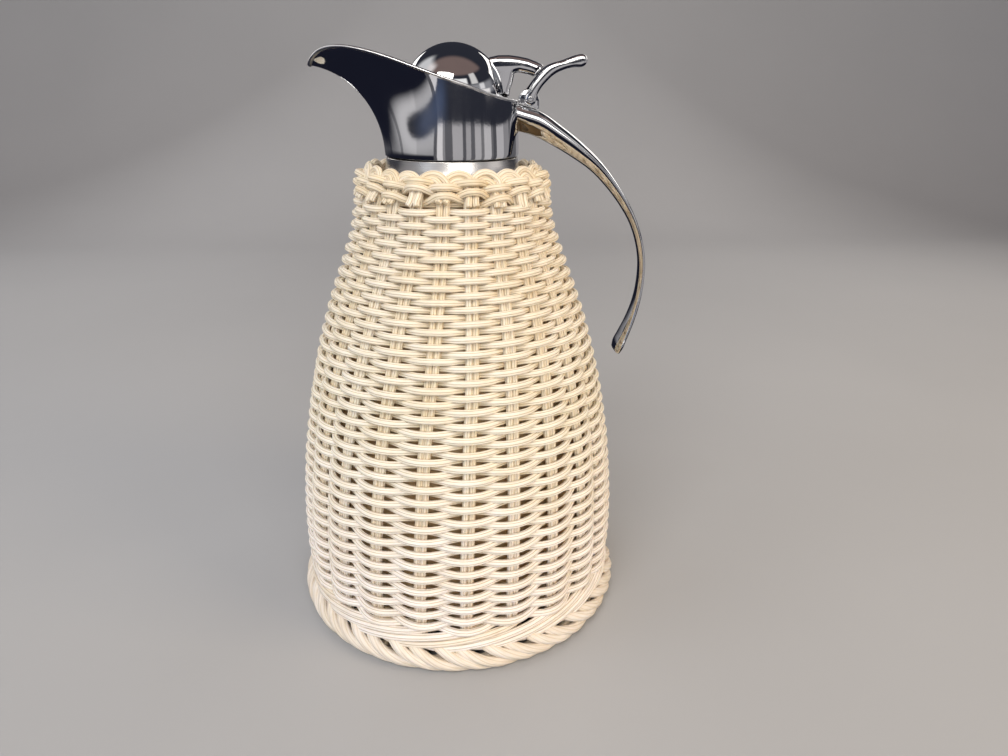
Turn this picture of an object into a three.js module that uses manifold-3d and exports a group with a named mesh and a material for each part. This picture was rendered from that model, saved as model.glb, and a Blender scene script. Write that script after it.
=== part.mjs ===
// Insulated carafe in a woven wicker sleeve, with a pouring head, horn handle and lever lid.
// Millimetres, +Z up. Origin: middle of the base, on the table. Spout to -X, handle to +X.
import * as THREE from 'three';
import { mergeVertices } from 'three/addons/utils/BufferGeometryUtils.js';
import Module from 'manifold-3d';

const wasm = await Module();
wasm.setup();

// ---------------------------------------------------------------- driving dimensions
const SEG = 32;                 // sides of the large round pieces
const GAP = 0.3;                // clearance between pieces that touch

// outside of the weave: [height, radius]
const SLEEVE = [
  [6, 81.2], [11, 81.9], [18, 82.5], [30, 83.0], [42, 82.9], [54, 82.4], [66, 81.5], [78, 80.3],
  [90, 78.7], [102, 76.7], [114, 74.4], [126, 71.7], [138, 68.6], [150, 65.0], [162, 60.9],
  [174, 56.4], [186, 51.9], [196, 48.5], [204, 47.0], [211, 46.6],
];
const SLEEVE_WALL = 8.9;        // thickness of the weave
const WALL_Z0 = 23.5, WALL_Z1 = 210.3;
const WALE_Z0 = 11.0, WALE_Z1 = 23.2;
const FOOT_TOP = 10.6, FOOT_R_IN = 75.5, FOOT_R_OUT = 86.6;
const BORDER_Z0 = 210.7, BORDER_Z1 = 225.6;

const SHELL_T = 0.8, BOTTLE_T = 0.8, VACUUM = 4.4;
const NECK_R = 30.0, NECK_TOP = 227.3;     // visible steel collar
const TUBE_R = 26.0, TUBE_TOP = 236.9;     // threaded neck inside the head
const LIP_TOP = 238.4, MOUTH_R = 22.0;
const SHELL_SEAM = 208.0, BOTTLE_SEAM = 190.0, LINER_SEAM = 213.0; // welded seams of the flask

const HEAD_Z0 = 228.0, HEAD_R0 = 30.6, HEAD_T = 1.5;

const LID_X = 1.2;              // lid axis
const DOME_R = 22.4, DOME_Z = 252.5, DOME_T = 1.3;
const PIN = [35.1, 252.0];      // hinge pin, x and z
const PIN_R = 1.2;
const LEVER_W = 12.0;
const BRIDGE_W = 9.0;

// handle: [upper x, upper z, lower x, lower z, width]
const HANDLE = [
  [26.5, 251.07, 23.2, 241.2, 13.5],
  [31.6, 249.5, 28.0, 238.9, 13.5],
  [40.6, 246.7, 36.8, 236.4, 13.2],
  [50.8, 240.2, 46.0, 232.1, 12.4],
  [60.3, 233.1, 55.4, 226.8, 11.4],
  [70.0, 224.4, 65.3, 220.2, 10.6],
  [76.8, 216.4, 72.6, 213.2, 10.0],
  [83.8, 206.2, 80.2, 204.0, 9.5],
  [88.8, 196.9, 85.6, 195.4, 9.1],
  [92.3, 187.3, 89.1, 186.5, 8.9],
  [94.3, 177.5, 91.1, 177.2, 8.8],
  [94.5, 167.5, 91.4, 167.7, 9.0],
  [93.2, 156.2, 90.2, 156.9, 9.8],
  [90.4, 145.8, 87.4, 146.8, 12.2],
  [87.3, 137.6, 84.3, 138.8, 14.8],
  [85.0, 132.2, 82.2, 133.4, 16.2],
  [83.9, 130.2, 81.8, 131.1, 14.2],
];
// handle section: [sideways share of the width, share of the depth]
const HANDLE_SECTION = [
  [0.28, 0.5], [0.43, 0.32], [0.5, 0.06], [0.45, -0.22], [0.34, -0.42], [0.16, -0.5],
];

// edge of the head's opening, from the back to the spout's tip: [plan angle, x, half width, z]
const RIM = [
  [0, 29.6, 0, 251.0], [20, 27.8, 10.1, 251.2], [40, 22.8, 19.0, 252.1], [60, 15.2, 25.6, 254.1],
  [80, 6.0, 29.2, 257.2], [100, -4.6, 29.5, 260.5], [115, -14.5, 27.6, 263.8], [128, -25.0, 24.0, 267.4],
  [138, -34.5, 20.2, 270.1], [147, -42.8, 16.6, 271.7], [155, -49.6, 13.3, 271.9], [162, -54.7, 10.2, 270.8],
  [168, -58.4, 7.1, 268.6], [174, -60.7, 3.7, 266.3], [180, -61.5, 0, 265.2],
];

// ---------------------------------------------------------------- helpers
const finish = {
  chrome: { color: 0xc9ccd2, roughness: 0.06, metalness: 1.0 },
  steel: { color: 0xb9b4ae, roughness: 0.34, metalness: 1.0 },
  reed: { color: 0xe9dcb4, roughness: 0.55, metalness: 0.0 },
  plastic: { color: 0x1b1c1f, roughness: 0.5, metalness: 0.0 },
  silicone: { color: 0xd9d7d2, roughness: 0.6, metalness: 0.0 },
};

// merges shared corners, drops empty triangles and turns the faces outwards
function close(geometry) {
  let g = geometry.index ? geometry.toNonIndexed() : geometry.clone();
  for (const name of Object.keys(g.attributes)) if (name !== 'position') g.deleteAttribute(name);
  g = mergeVertices(g, 1e-4);
  const p = g.attributes.position, src = g.index.array, tri = [];
  let volume = 0;
  const a = new THREE.Vector3(), b = new THREE.Vector3(), c = new THREE.Vector3();
  for (let i = 0; i < src.length; i += 3) {
    const [u, v, w] = [src[i], src[i + 1], src[i + 2]];
    if (u === v || v === w || w === u) continue;
    tri.push(u, v, w);
    a.fromBufferAttribute(p, u); b.fromBufferAttribute(p, v); c.fromBufferAttribute(p, w);
    volume += a.dot(b.clone().cross(c));
  }
  if (volume < 0) for (let i = 0; i < tri.length; i += 3) [tri[i], tri[i + 1]] = [tri[i + 1], tri[i]];
  const out = new THREE.BufferGeometry();
  out.setAttribute('position', new THREE.BufferAttribute(new Float32Array(p.array), 3));
  out.setIndex(tri);
  return out;
}

function toSolid(geometry) {
  const g = close(geometry);
  return new wasm.Manifold(new wasm.Mesh({
    numProp: 3,
    vertProperties: new Float32Array(g.attributes.position.array),
    triVerts: new Uint32Array(g.index.array),
  }));
}

function toGeometry(solid) {
  const m = solid.getMesh();
  const g = new THREE.BufferGeometry();
  const pos = new Float32Array((m.vertProperties.length / m.numProp) * 3);
  for (let i = 0; i < pos.length / 3; i++) {
    for (let k = 0; k < 3; k++) pos[3 * i + k] = m.vertProperties[i * m.numProp + k];
  }
  g.setAttribute('position', new THREE.BufferAttribute(pos, 3));
  g.setIndex(Array.from(m.triVerts));
  return g;
}

const cut = (base, ...tools) => toGeometry(tools.reduce((s, t) => s.subtract(toSolid(t)), toSolid(base)));
const join = (base, ...more) => toGeometry(more.reduce((s, t) => s.add(toSolid(t)), toSolid(base)));

// turned piece about Z from [radius, height] points
function turned(points, segments = SEG) {
  const g = new THREE.LatheGeometry(points.map(([r, z]) => new THREE.Vector2(r, z)), segments);
  g.rotateX(Math.PI / 2);
  return g;
}
// a ring profile closes on itself
const ring = (points, segments = SEG) => turned([...points, points[0]], segments);

// outline in the X-Z plane, carried from y0 to y1
function plate(points, y0, y1) {
  const shape = new THREE.Shape(points.map(([x, z]) => new THREE.Vector2(x, z)));
  const g = new THREE.ExtrudeGeometry(shape, { depth: y1 - y0, bevelEnabled: false, steps: 1 });
  g.rotateX(Math.PI / 2);
  g.translate(0, y1, 0);
  return g;
}

// rod along Y through [x, z]
function rodY(x, z, r, y0, y1, sides = 16) {
  const g = new THREE.CylinderGeometry(r, r, y1 - y0, sides);
  g.translate(x, (y0 + y1) / 2, z);
  return g;
}

// rod along X at height z
function rodX(z, r, x0, x1, sides = 14) {
  const g = new THREE.CylinderGeometry(r, r, x1 - x0, sides);
  g.rotateZ(Math.PI / 2);
  g.translate((x0 + x1) / 2, 0, z);
  return g;
}

// closed skin over a list of loops with equal point counts, capped at both ends
function loft(loops) {
  const n = loops[0].length, pos = [], idx = [];
  for (const l of loops) for (const p of l) pos.push(...p);
  for (let i = 0; i + 1 < loops.length; i++) {
    for (let j = 0; j < n; j++) {
      const a = i * n + j, b = i * n + (j + 1) % n;
      idx.push(a, b, b + n, a, b + n, a + n);
    }
  }
  for (const [row, flip] of [[0, true], [loops.length - 1, false]]) {
    const mid = loops[row].reduce((s, p) => s.map((v, k) => v + p[k] / n), [0, 0, 0]);
    pos.push(...mid);
    const c = pos.length / 3 - 1;
    for (let j = 0; j < n; j++) {
      const a = row * n + j, b = row * n + (j + 1) % n;
      if (flip) idx.push(c, b, a); else idx.push(c, a, b);
    }
  }
  const g = new THREE.BufferGeometry();
  g.setAttribute('position', new THREE.BufferAttribute(new Float32Array(pos), 3));
  g.setIndex(idx);
  return g;
}

// closed skin over closed profiles that follow each other all the way round
function wreath(loops) {
  const n = loops[0].length, m = loops.length, pos = [], idx = [];
  for (const l of loops) for (const p of l) pos.push(...p);
  for (let i = 0; i < m; i++) {
    for (let j = 0; j < n; j++) {
      const a = i * n + j, b = i * n + (j + 1) % n;
      const c = ((i + 1) % m) * n + j, d = ((i + 1) % m) * n + (j + 1) % n;
      idx.push(a, c, d, a, d, b);
    }
  }
  const g = new THREE.BufferGeometry();
  g.setAttribute('position', new THREE.BufferAttribute(new Float32Array(pos), 3));
  g.setIndex(idx);
  return g;
}

function sleeveR(z) {
  if (z <= SLEEVE[0][0]) return SLEEVE[0][1];
  for (let i = 0; i + 1 < SLEEVE.length; i++) {
    const [z0, r0] = SLEEVE[i], [z1, r1] = SLEEVE[i + 1];
    if (z <= z1) return r0 + ((r1 - r0) * (z - z0)) / (z1 - z0);
  }
  return SLEEVE[SLEEVE.length - 1][1];
}

const model = new THREE.Group();
function add(name, geometry, look) {
  const mesh = new THREE.Mesh(close(geometry), new THREE.MeshStandardMaterial(finish[look]));
  mesh.name = name;
  model.add(mesh);
  return mesh;
}

// ---------------------------------------------------------------- flask
const shellOut = (z) => sleeveR(z) - SLEEVE_WALL - 0.6;

add('base_pad', turned([[0, 0], [55, 0], [56, 0.8], [56, 2.0], [0, 2.0]]), 'silicone');
add('base_cap', turned([
  [0, 2.3], [69.5, 2.3], [71.8, 4.2], [72.2, 6], [72.2, 14.2], [70.9, 14.2], [70.9, 5.6], [69.6, 4.6], [0, 4.6],
]), 'plastic');
add('shell_bottom', turned([[0, 8.4], [52, 8.4], [58, 6.5], [69.2, 6.5], [69.2, 7.3], [58.6, 7.3], [52.6, 9.2], [0, 9.2]]), 'steel');

const bodyZ = [18, 42, 72, 102, 132, 162, 180, 192, 200, SHELL_SEAM];
const liningZ = [18, 42, 72, 102, 132, 162, 184, SHELL_SEAM];
const shoulder = [[35.9, 213.0], [33.4, 217.6], [31.4, 221.4], [30.4, 224.6], [NECK_R, NECK_TOP]];
add('outer_shell', ring([
  [70.5, 6.2], [70.5, 14.3], [72.4, 15.2], ...bodyZ.map((z) => [shellOut(z), z]),
  ...liningZ.slice().reverse().map((z) => [shellOut(z) - SHELL_T, z]), [71.5, 15.9], [69.7, 14.9], [69.7, 6.2],
]), 'steel');
const seamR = shellOut(SHELL_SEAM);
add('shell_neck', ring([
  [seamR, SHELL_SEAM + GAP], ...shoulder,
  [TUBE_R, NECK_TOP], [TUBE_R, TUBE_TOP], [TUBE_R - SHELL_T, TUBE_TOP], [TUBE_R - SHELL_T, NECK_TOP - SHELL_T],
  ...shoulder.slice(0, 4).reverse().map(([r, z]) => [r - SHELL_T, z - 0.25]), [seamR - SHELL_T, SHELL_SEAM + GAP],
]), 'steel');

const bottleR = (z) => shellOut(z) - SHELL_T - VACUUM;
const bottleZ = [26, 54, 84, 114, 144, 168, BOTTLE_SEAM];
add('inner_bottle', ring([
  [60.8, 12.6], [65.6, 16.0], ...bottleZ.map((z) => [bottleR(z), z]),
  ...bottleZ.slice().reverse().map((z) => [bottleR(z) - BOTTLE_T, z]), [64.9, 16.5], [60.8, 13.5],
]), 'steel');
add('bottle_bottom', turned([[0, 12.6], [60.5, 12.6], [60.5, 13.4], [0, 13.4]]), 'steel');
const liningR = bottleR(BOTTLE_SEAM);
add('liner_shoulder', ring([
  [liningR, BOTTLE_SEAM + GAP], [27.2, 204], [24.2, LINER_SEAM], [24.2 - BOTTLE_T, LINER_SEAM],
  [27.2 - BOTTLE_T, 203.5], [liningR - BOTTLE_T, BOTTLE_SEAM + GAP],
]), 'steel');
add('liner_neck', ring([
  [24.1, LINER_SEAM + GAP], [MOUTH_R + BOTTLE_T, 220], [MOUTH_R + BOTTLE_T, TUBE_TOP + GAP],
  [TUBE_R, TUBE_TOP + GAP], [TUBE_R, LIP_TOP], [MOUTH_R, LIP_TOP], [MOUTH_R, 220], [24.1 - BOTTLE_T, LINER_SEAM + GAP],
]), 'steel');

// ---------------------------------------------------------------- wicker sleeve
const wallZ = [WALL_Z0, 42, 66, 90, 112, 134, 154, 172, 188, 198, WALL_Z1];
add('wicker_wall', ring([
  ...wallZ.map((z) => [sleeveR(z), z]),
  ...wallZ.slice().reverse().map((z) => [sleeveR(z) - SLEEVE_WALL, z]),
]), 'reed');
add('wicker_wale', ring([
  [sleeveR(WALE_Z0), WALE_Z0], [sleeveR(17), 17], [sleeveR(WALE_Z1), WALE_Z1],
  [sleeveR(WALE_Z1) - SLEEVE_WALL, WALE_Z1], [sleeveR(WALE_Z0) - SLEEVE_WALL, WALE_Z0],
]), 'reed');
add('wicker_foot_border', ring([
  [FOOT_R_IN + 1.6, 0], [FOOT_R_OUT - 2.6, 0], [FOOT_R_OUT - 0.5, 1.6], [FOOT_R_OUT, 4.0], [FOOT_R_OUT - 1.1, 7.2],
  [FOOT_R_OUT - 3.6, 9.6], [FOOT_R_OUT - 6.4, FOOT_TOP], [FOOT_R_IN + 1.2, FOOT_TOP], [FOOT_R_IN, 8.0], [FOOT_R_IN, 2.0],
]), 'reed');
add('wicker_top_border', ring([
  [37.9, BORDER_Z0], [46.8, BORDER_Z0], [47.0, 214.5], [46.2, 218.6], [44.2, 222.4], [42.0, 224.8], [40.2, BORDER_Z1],
  [38.0, BORDER_Z1], [36.2, 222.0], [36.2, 216.0],
]), 'reed');

// ---------------------------------------------------------------- pouring head
function rimAt(deg) {
  const d = Math.abs(deg) > 180 ? 360 - Math.abs(deg) : Math.abs(deg);
  const side = deg > 180 ? -1 : 1;
  for (let i = 0; i + 1 < RIM.length; i++) {
    if (d <= RIM[i + 1][0] + 1e-9) {
      const u = (d - RIM[i][0]) / (RIM[i + 1][0] - RIM[i][0]);
      const v = [1, 2, 3].map((k) => RIM[i][k] + (RIM[i + 1][k] - RIM[i][k]) * u);
      return [v[0], side * v[1], v[2]];
    }
  }
  return [RIM[RIM.length - 1][1], 0, RIM[RIM.length - 1][3]];
}
const smooth = (u) => { const t = Math.min(1, Math.max(0, u)); return t * t * (3 - 2 * t); };

// one upright line of the head's wall, from the foot circle to the rim
function headLine(deg, inset, z0) {
  const a = (deg * Math.PI) / 180;
  const foot = [(HEAD_R0 - inset) * Math.cos(a), (HEAD_R0 - inset) * Math.sin(a), z0];
  const [qx, qy, qz] = rimAt(deg);
  const [ax, ay] = rimAt((deg + 359) % 360), [bx, by] = rimAt((deg + 1) % 360);
  let nx = by - ay, ny = -(bx - ax);
  const l = Math.hypot(nx, ny) || 1;
  nx /= l; ny /= l;
  const rim = [qx - nx * inset, qy - ny * inset, qz];
  const d = deg > 180 ? 360 - deg : deg;
  const s = smooth((d - 95) / 85);
  const h = qz - z0;
  const c1 = [foot[0], foot[1], z0 + h * (0.36 + 0.1 * s)];
  const c2 = [
    rim[0] - nx * (19.5 * s) + nx * 0.4 * (1 - s), rim[1] - ny * (19.5 * s) + ny * 0.4 * (1 - s),
    rim[2] - (h * 0.33) * (1 - s) - (2.6 + inset * 0.2) * s,
  ];
  return (t) => [0, 1, 2].map((k) => foot[k] * (1 - t) ** 3 + 3 * c1[k] * t * (1 - t) ** 2
    + 3 * c2[k] * t * t * (1 - t) + rim[k] * t ** 3);
}
const headAngles = [0, 12, 24, 38, 52, 66, 80, 92, 104, 115, 124, 132, 139, 146, 152, 158, 163, 168, 172, 176, 180];
const allAngles = [...headAngles, ...headAngles.slice(1, -1).reverse().map((d) => 360 - d)];
const STEPS = [0, 0.14, 0.3, 0.46, 0.6, 0.73, 0.85, 0.93, 1];
const FLANGE_TOP = 231.4, FLANGE_BOTTOM = 229.2;
const headShell = wreath(allAngles.map((deg) => {
  const a = (deg * Math.PI) / 180, at = (r, z) => [r * Math.cos(a), r * Math.sin(a), z];
  const outside = headLine(deg, 0, HEAD_Z0), inside = headLine(deg, HEAD_T, FLANGE_TOP);
  return [
    ...STEPS.map((t) => outside(t)),
    ...STEPS.slice().reverse().map((t) => inside(t)),
    at(TUBE_R + 0.4, FLANGE_TOP), at(TUBE_R + 0.4, FLANGE_BOTTOM), at(HEAD_R0 - HEAD_T, FLANGE_BOTTOM),
    at(HEAD_R0 - HEAD_T, HEAD_Z0),
  ];
}));
const SCREW_Z = [245.6, 241.0], SCREW_HOLE = 1.6;
add('pouring_head', cut(headShell, ...SCREW_Z.map((z) => rodX(z, SCREW_HOLE, 24, 36))), 'chrome');

add('neck_gasket', ring([[26.4, 227.7], [28.7, 227.7], [28.7, 228.8], [26.4, 228.8]]), 'silicone');
add('neck_ring', ring([[26.4, 231.8], [28.2, 231.8], [28.2, 234.6], [27.6, 236.2], [26.4, 236.2]]), 'plastic');

// ---------------------------------------------------------------- handle and hinge block
const handleLoops = HANDLE.map(([ux, uz, lx, lz, w]) => {
  const mx = (ux + lx) / 2, mz = (uz + lz) / 2, dx = ux - lx, dz = uz - lz;
  const half = HANDLE_SECTION.map(([b, n]) => [mx + dx * n, b * w, mz + dz * n]);
  return [...half, ...half.slice().reverse().map(([x, y, z]) => [x, -y, z])];
});
// the root is hollowed to the head's round wall
const headCore = turned([[0, 220], [HEAD_R0 + GAP, 220], [HEAD_R0 + GAP, 229], [30.35 + GAP, 240], [29.7 + GAP, 262], [0, 262]], 72);
add('handle', cut(loft(handleLoops), headCore, ...SCREW_Z.map((z) => rodX(z, SCREW_HOLE, 20, 36.4))), 'chrome');

SCREW_Z.forEach((z, i) => {
  const head = new THREE.CylinderGeometry(2.1, 2.1, 1.5, 16), shank = rodX(z, 1.3, 27.0, 36.0);
  head.rotateZ(Math.PI / 2);
  head.translate(27.0, 0, z);
  add(i ? 'handle_screw_lower' : 'handle_screw_upper', join(head, shank), 'steel');
});

const CHEEK = 3.2, SLOT = 1.6;
const blockSide = [
  [30.5, 250.25], [39.6, 247.42], [39.5, 251.4], [38.6, 253.9], [36.6, 255.8], [33.2, 256.0], [31.2, 253.9], [30.5, 252.4],
];
add('hinge_block', cut(
  plate(blockSide, -CHEEK, CHEEK),
  plate([[29.0, 251.9], [33.2, 249.9], [37.0, 249.25], [40.5, 248.2], [41, 258], [29, 258]], -SLOT, SLOT),
  rodY(PIN[0], PIN[1], PIN_R + GAP, -5, 5),
), 'chrome');

const pin = new THREE.LatheGeometry([
  [0, -5.9], [0.9, -5.9], [PIN_R, -5.6], [PIN_R, 5.6], [0.9, 5.9], [0, 5.9],
].map(([r, y]) => new THREE.Vector2(r, y)), 16);
pin.translate(PIN[0], 0, PIN[1]);
add('hinge_pin', pin, 'steel');

// ---------------------------------------------------------------- lid
const arc = (r, n) => Array.from({ length: n + 1 }, (_, i) => {
  const t = (i / n) * (Math.PI / 2);
  return [r * Math.cos(t), DOME_Z + r * Math.sin(t)];
});
const domeIn = arc(DOME_R - DOME_T, 5).filter(([r]) => r > 4.6).reverse();
const dome = turned([
  [0, 260], [1.7, 260], [1.7, 247.0], [4.2, 247.0], [4.2, DOME_Z + Math.sqrt((DOME_R - DOME_T) ** 2 - 4.2 ** 2)],
  ...domeIn, [DOME_R - DOME_T, 246.6], [DOME_R, 246.6], ...arc(DOME_R, 7).slice(0, -1), [0, DOME_Z + DOME_R],
], 24);
dome.translate(LID_X, 0, 0);
add('lid_dome', dome, 'chrome');

const plug = turned([
  [1.8, 240.2], [1.8, 246.3], [23.2, 246.3], [23.9, 245.6], [23.9, 242.2], [19.5, 242.2], [19.5, 238.0], [17.6, 232.0],
  [3.8, 232.0], [3.8, 240.2], [1.8, 240.2],
], 28);
plug.translate(LID_X, 0, 0);
add('lid_plug', plug, 'plastic');

const seal = ring([[19.8, 238.8], [24.0, 238.8], [24.4, 240.2], [23.8, 241.9], [19.8, 241.9]], 28);
seal.translate(LID_X, 0, 0);
add('lid_seal', seal, 'silicone');

const lidScrew = turned([[0, 237.2], [3.3, 237.2], [3.4, 237.8], [3.4, 239.9], [1.4, 239.9], [1.4, 258], [0, 258.6]], 14);
lidScrew.translate(LID_X, 0, 0);
add('lid_screw', lidScrew, 'steel');

// arched bar and the rib below it, fitted to the dome
const bridgeSide = [
  [12.0, 266.0], [17.2, 268.9], [21.0, 269.7], [25.6, 269.8], [30.0, 269.3], [34.2, 268.5], [38.2, 267.1], [41.6, 265.7],
  [37.4, 261.2], [33.3, 262.3], [30.0, 262.9], [28.2, 262.5], [27.3, 258.4], [26.3, 255.7], [26.0, 252.6], [22.0, 252.6],
];
const ball = new THREE.SphereGeometry(DOME_R + 0.35, 48, 32);
ball.rotateX(Math.PI / 2);
ball.translate(LID_X, 0, DOME_Z);
add('lid_bridge', cut(plate(bridgeSide, -BRIDGE_W / 2, BRIDGE_W / 2), ball), 'chrome');

// lever: forked foot on the pin, curved stem, thumb tip
const leverSide = [
  [32.6, 250.6], [32.5, 252.0], [32.9, 253.6], [34.9, 256.9], [38.4, 261.3], [42.6, 265.5], [45.6, 266.9], [50.0, 268.1], [54.4, 269.6],
  [57.2, 270.3], [59.2, 269.7], [60.0, 268.2], [59.4, 266.7], [55.4, 265.9], [50.6, 264.6], [45.8, 262.4], [42.3, 259.4], [39.4, 255.8],
  [37.9, 252.6], [37.5, 250.6], [36.4, 249.4], [35.1, 249.1], [33.7, 249.5],
];
const slotSide = Array.from({ length: 16 }, (_, i) => {
  const t = (i / 16) * Math.PI * 2;
  return [PIN[0] + 5.7 * Math.cos(t), PIN[1] + 5.7 * Math.sin(t)];
});
add('thumb_lever', cut(
  plate(leverSide, -LEVER_W / 2, LEVER_W / 2),
  plate(slotSide, -CHEEK - GAP, CHEEK + GAP),
  rodY(PIN[0], PIN[1], PIN_R + GAP, -8, 8),
), 'chrome');

// closing spring: a few turns round the pin and a leg along the lever
class SpringPath extends THREE.Curve {
  getPoint(t, target = new THREE.Vector3()) {
    const turns = 3.0, r = 1.76, share = 0.84;
    const u = Math.min(t / share, 1);
    const a = -1.2 - turns * 2 * Math.PI * (1 - u) + 2.26;
    const x = PIN[0] + r * Math.cos(a), z = PIN[1] + r * Math.sin(a), y = -1.15 + 2.3 * u;
    if (t <= share) return target.set(x, y, z);
    const w = ((t - share) / (1 - share)) * 3.0;
    return target.set(x - Math.sin(a) * w, y, z + Math.cos(a) * w);
  }
}
const wire = new THREE.Shape(Array.from({ length: 6 }, (_, i) => {
  const t = (i / 6) * Math.PI * 2;
  return new THREE.Vector2(0.25 * Math.cos(t), 0.25 * Math.sin(t));
}));
add('return_spring', new THREE.ExtrudeGeometry(wire, { steps: 42, bevelEnabled: false, extrudePath: new SpringPath() }), 'steel');

export default model;
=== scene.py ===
import math

import bmesh
import bpy
import numpy as np
from mathutils import Euler, Matrix, Vector


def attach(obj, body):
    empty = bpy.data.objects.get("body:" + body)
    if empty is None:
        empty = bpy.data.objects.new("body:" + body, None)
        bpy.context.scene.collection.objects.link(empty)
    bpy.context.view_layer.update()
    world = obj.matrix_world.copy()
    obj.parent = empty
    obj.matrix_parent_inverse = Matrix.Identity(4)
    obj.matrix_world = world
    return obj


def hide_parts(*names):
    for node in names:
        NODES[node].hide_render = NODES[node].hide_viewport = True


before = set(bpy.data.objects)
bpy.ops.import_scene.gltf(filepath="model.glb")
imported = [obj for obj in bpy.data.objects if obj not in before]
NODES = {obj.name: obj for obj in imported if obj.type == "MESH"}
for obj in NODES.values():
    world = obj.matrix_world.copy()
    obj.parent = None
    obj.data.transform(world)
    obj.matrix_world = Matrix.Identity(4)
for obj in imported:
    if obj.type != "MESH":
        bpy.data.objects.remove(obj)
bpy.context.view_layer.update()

MM = 0.001
RNG = np.random.default_rng(41)

# ------------------------------------------------------------------ shared dimensions (mm)
SLEEVE = np.array([
    [6, 81.2], [11, 81.9], [18, 82.5], [30, 83.0], [42, 82.9], [54, 82.4], [66, 81.5], [78, 80.3],
    [90, 78.7], [102, 76.7], [114, 74.4], [126, 71.7], [138, 68.6], [150, 65.0], [162, 60.9],
    [174, 56.4], [186, 51.9], [196, 48.5], [204, 47.0], [211, 46.6]])
CAM_DIR = -90.86          # plan angle from the axis to the camera
STAKES = 23
FRONT = [-60.2, -44.6, -28.3, -12.3, 3.6, 20.0, 36.0, 52.0, 67.8]   # stakes seen from the front, from CAM_DIR
LEAN = np.array([[0, -2.6], [20, -2.5], [60, -1.8], [80, -1.1], [95, -0.6], [113, 0.0], [130, 1.2], [145, 2.2],
                 [165, 3.4], [185, 4.6], [205, 5.9], [230, 6.4]])
HEAD_Z0, HEAD_R0, HEAD_T = 228.0, 30.6, 1.5
RIM = np.array([
    [0, 29.6, 0, 251.0], [20, 27.8, 10.1, 251.2], [40, 22.8, 19.0, 252.1], [60, 15.2, 25.6, 254.1],
    [80, 6.0, 29.2, 257.2], [100, -4.6, 29.5, 260.5], [115, -14.5, 27.6, 263.8], [128, -25.0, 24.0, 267.4],
    [138, -34.5, 20.2, 270.1], [147, -42.8, 16.6, 271.7], [155, -49.6, 13.3, 271.9], [162, -54.7, 10.2, 270.8],
    [168, -58.4, 7.1, 268.6], [174, -60.7, 3.7, 266.3], [180, -61.5, 0, 265.2]])
HANDLE = np.array([
    [26.5, 251.07, 23.2, 241.2, 13.5], [31.6, 249.5, 28.0, 238.9, 13.5], [40.6, 246.7, 36.8, 236.4, 13.2],
    [50.8, 240.2, 46.0, 232.1, 12.4], [60.3, 233.1, 55.4, 226.8, 11.4], [70.0, 224.4, 65.3, 220.2, 10.6],
    [76.8, 216.4, 72.6, 213.2, 10.0], [83.8, 206.2, 80.2, 204.0, 9.5], [88.8, 196.9, 85.6, 195.4, 9.1],
    [92.3, 187.3, 89.1, 186.5, 8.9], [94.3, 177.5, 91.1, 177.2, 8.8], [94.5, 167.5, 91.4, 167.7, 9.0],
    [93.2, 156.2, 90.2, 156.9, 9.8], [90.4, 145.8, 87.4, 146.8, 12.2], [87.3, 137.6, 84.3, 138.8, 14.8],
    [85.0, 132.2, 82.2, 133.4, 16.2], [83.9, 130.2, 81.8, 131.1, 14.2]])
LID_X, DOME_R, DOME_Z, DOME_T = 1.2, 22.4, 252.5, 1.3
PIN = (35.1, 252.0)


# ------------------------------------------------------------------ small maths
def spline(keys, values, x, closed=False):
    """Monotone-ish cubic (Catmull-Rom on uneven keys) through values at keys."""
    keys = np.asarray(keys, float)
    values = np.asarray(values, float)
    flat = values.ndim == 1
    if flat:
        values = values[:, None]
    x = np.atleast_1d(np.asarray(x, float))
    d = np.diff(keys)
    slope = np.diff(values, axis=0) / d[:, None]
    m = np.zeros_like(values)
    m[1:-1] = (slope[:-1] * d[1:, None] + slope[1:] * d[:-1, None]) / (d[:-1] + d[1:])[:, None]
    if closed:
        m[0] = m[-1] = (slope[-1] * d[0] + slope[0] * d[-1]) / (d[0] + d[-1])
    else:
        m[0], m[-1] = slope[0], slope[-1]
    i = np.clip(np.searchsorted(keys, x, side="right") - 1, 0, len(d) - 1)
    h = d[i]
    t = ((x - keys[i]) / h)[:, None]
    h = h[:, None]
    out = ((2 * t ** 3 - 3 * t ** 2 + 1) * values[i] + (t ** 3 - 2 * t ** 2 + t) * h * m[i]
           + (-2 * t ** 3 + 3 * t ** 2) * values[i + 1] + (t ** 3 - t ** 2) * h * m[i + 1])
    return out[:, 0] if flat else out


def smoothstep(u):
    u = np.clip(u, 0.0, 1.0)
    return u * u * (3 - 2 * u)


def wander(x, seed, reach):
    """Slow smooth irregularity, the same on every run."""
    g = np.random.default_rng(seed)
    f, p, a = g.uniform(0.35, 2.2, 7), g.uniform(0, 6.283, 7), g.uniform(0.4, 1.0, 7)
    x = np.asarray(x, float)
    return reach * (np.sin(np.multiply.outer(x, f) + p) * a).sum(-1) / a.sum() * 1.8


def through(points, count):
    """Smooth path of count points through the given ones, evenly along its length."""
    p = np.asarray(points, float)
    k = np.concatenate([[0], np.cumsum(np.linalg.norm(np.diff(p, axis=0), axis=1))])
    fine = spline(k, p, np.linspace(0, k[-1], count * 6))
    s = np.concatenate([[0], np.cumsum(np.linalg.norm(np.diff(fine, axis=0), axis=1))])
    want = np.linspace(0, s[-1], count)
    return np.stack([np.interp(want, s, fine[:, c]) for c in range(p.shape[1])], 1)


def sleeve_r(z):
    return spline(SLEEVE[:, 0], SLEEVE[:, 1], np.clip(z, 6, 211))


def lean(z):
    return spline(LEAN[:, 0], LEAN[:, 1], np.clip(z, 0, 230))


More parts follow.
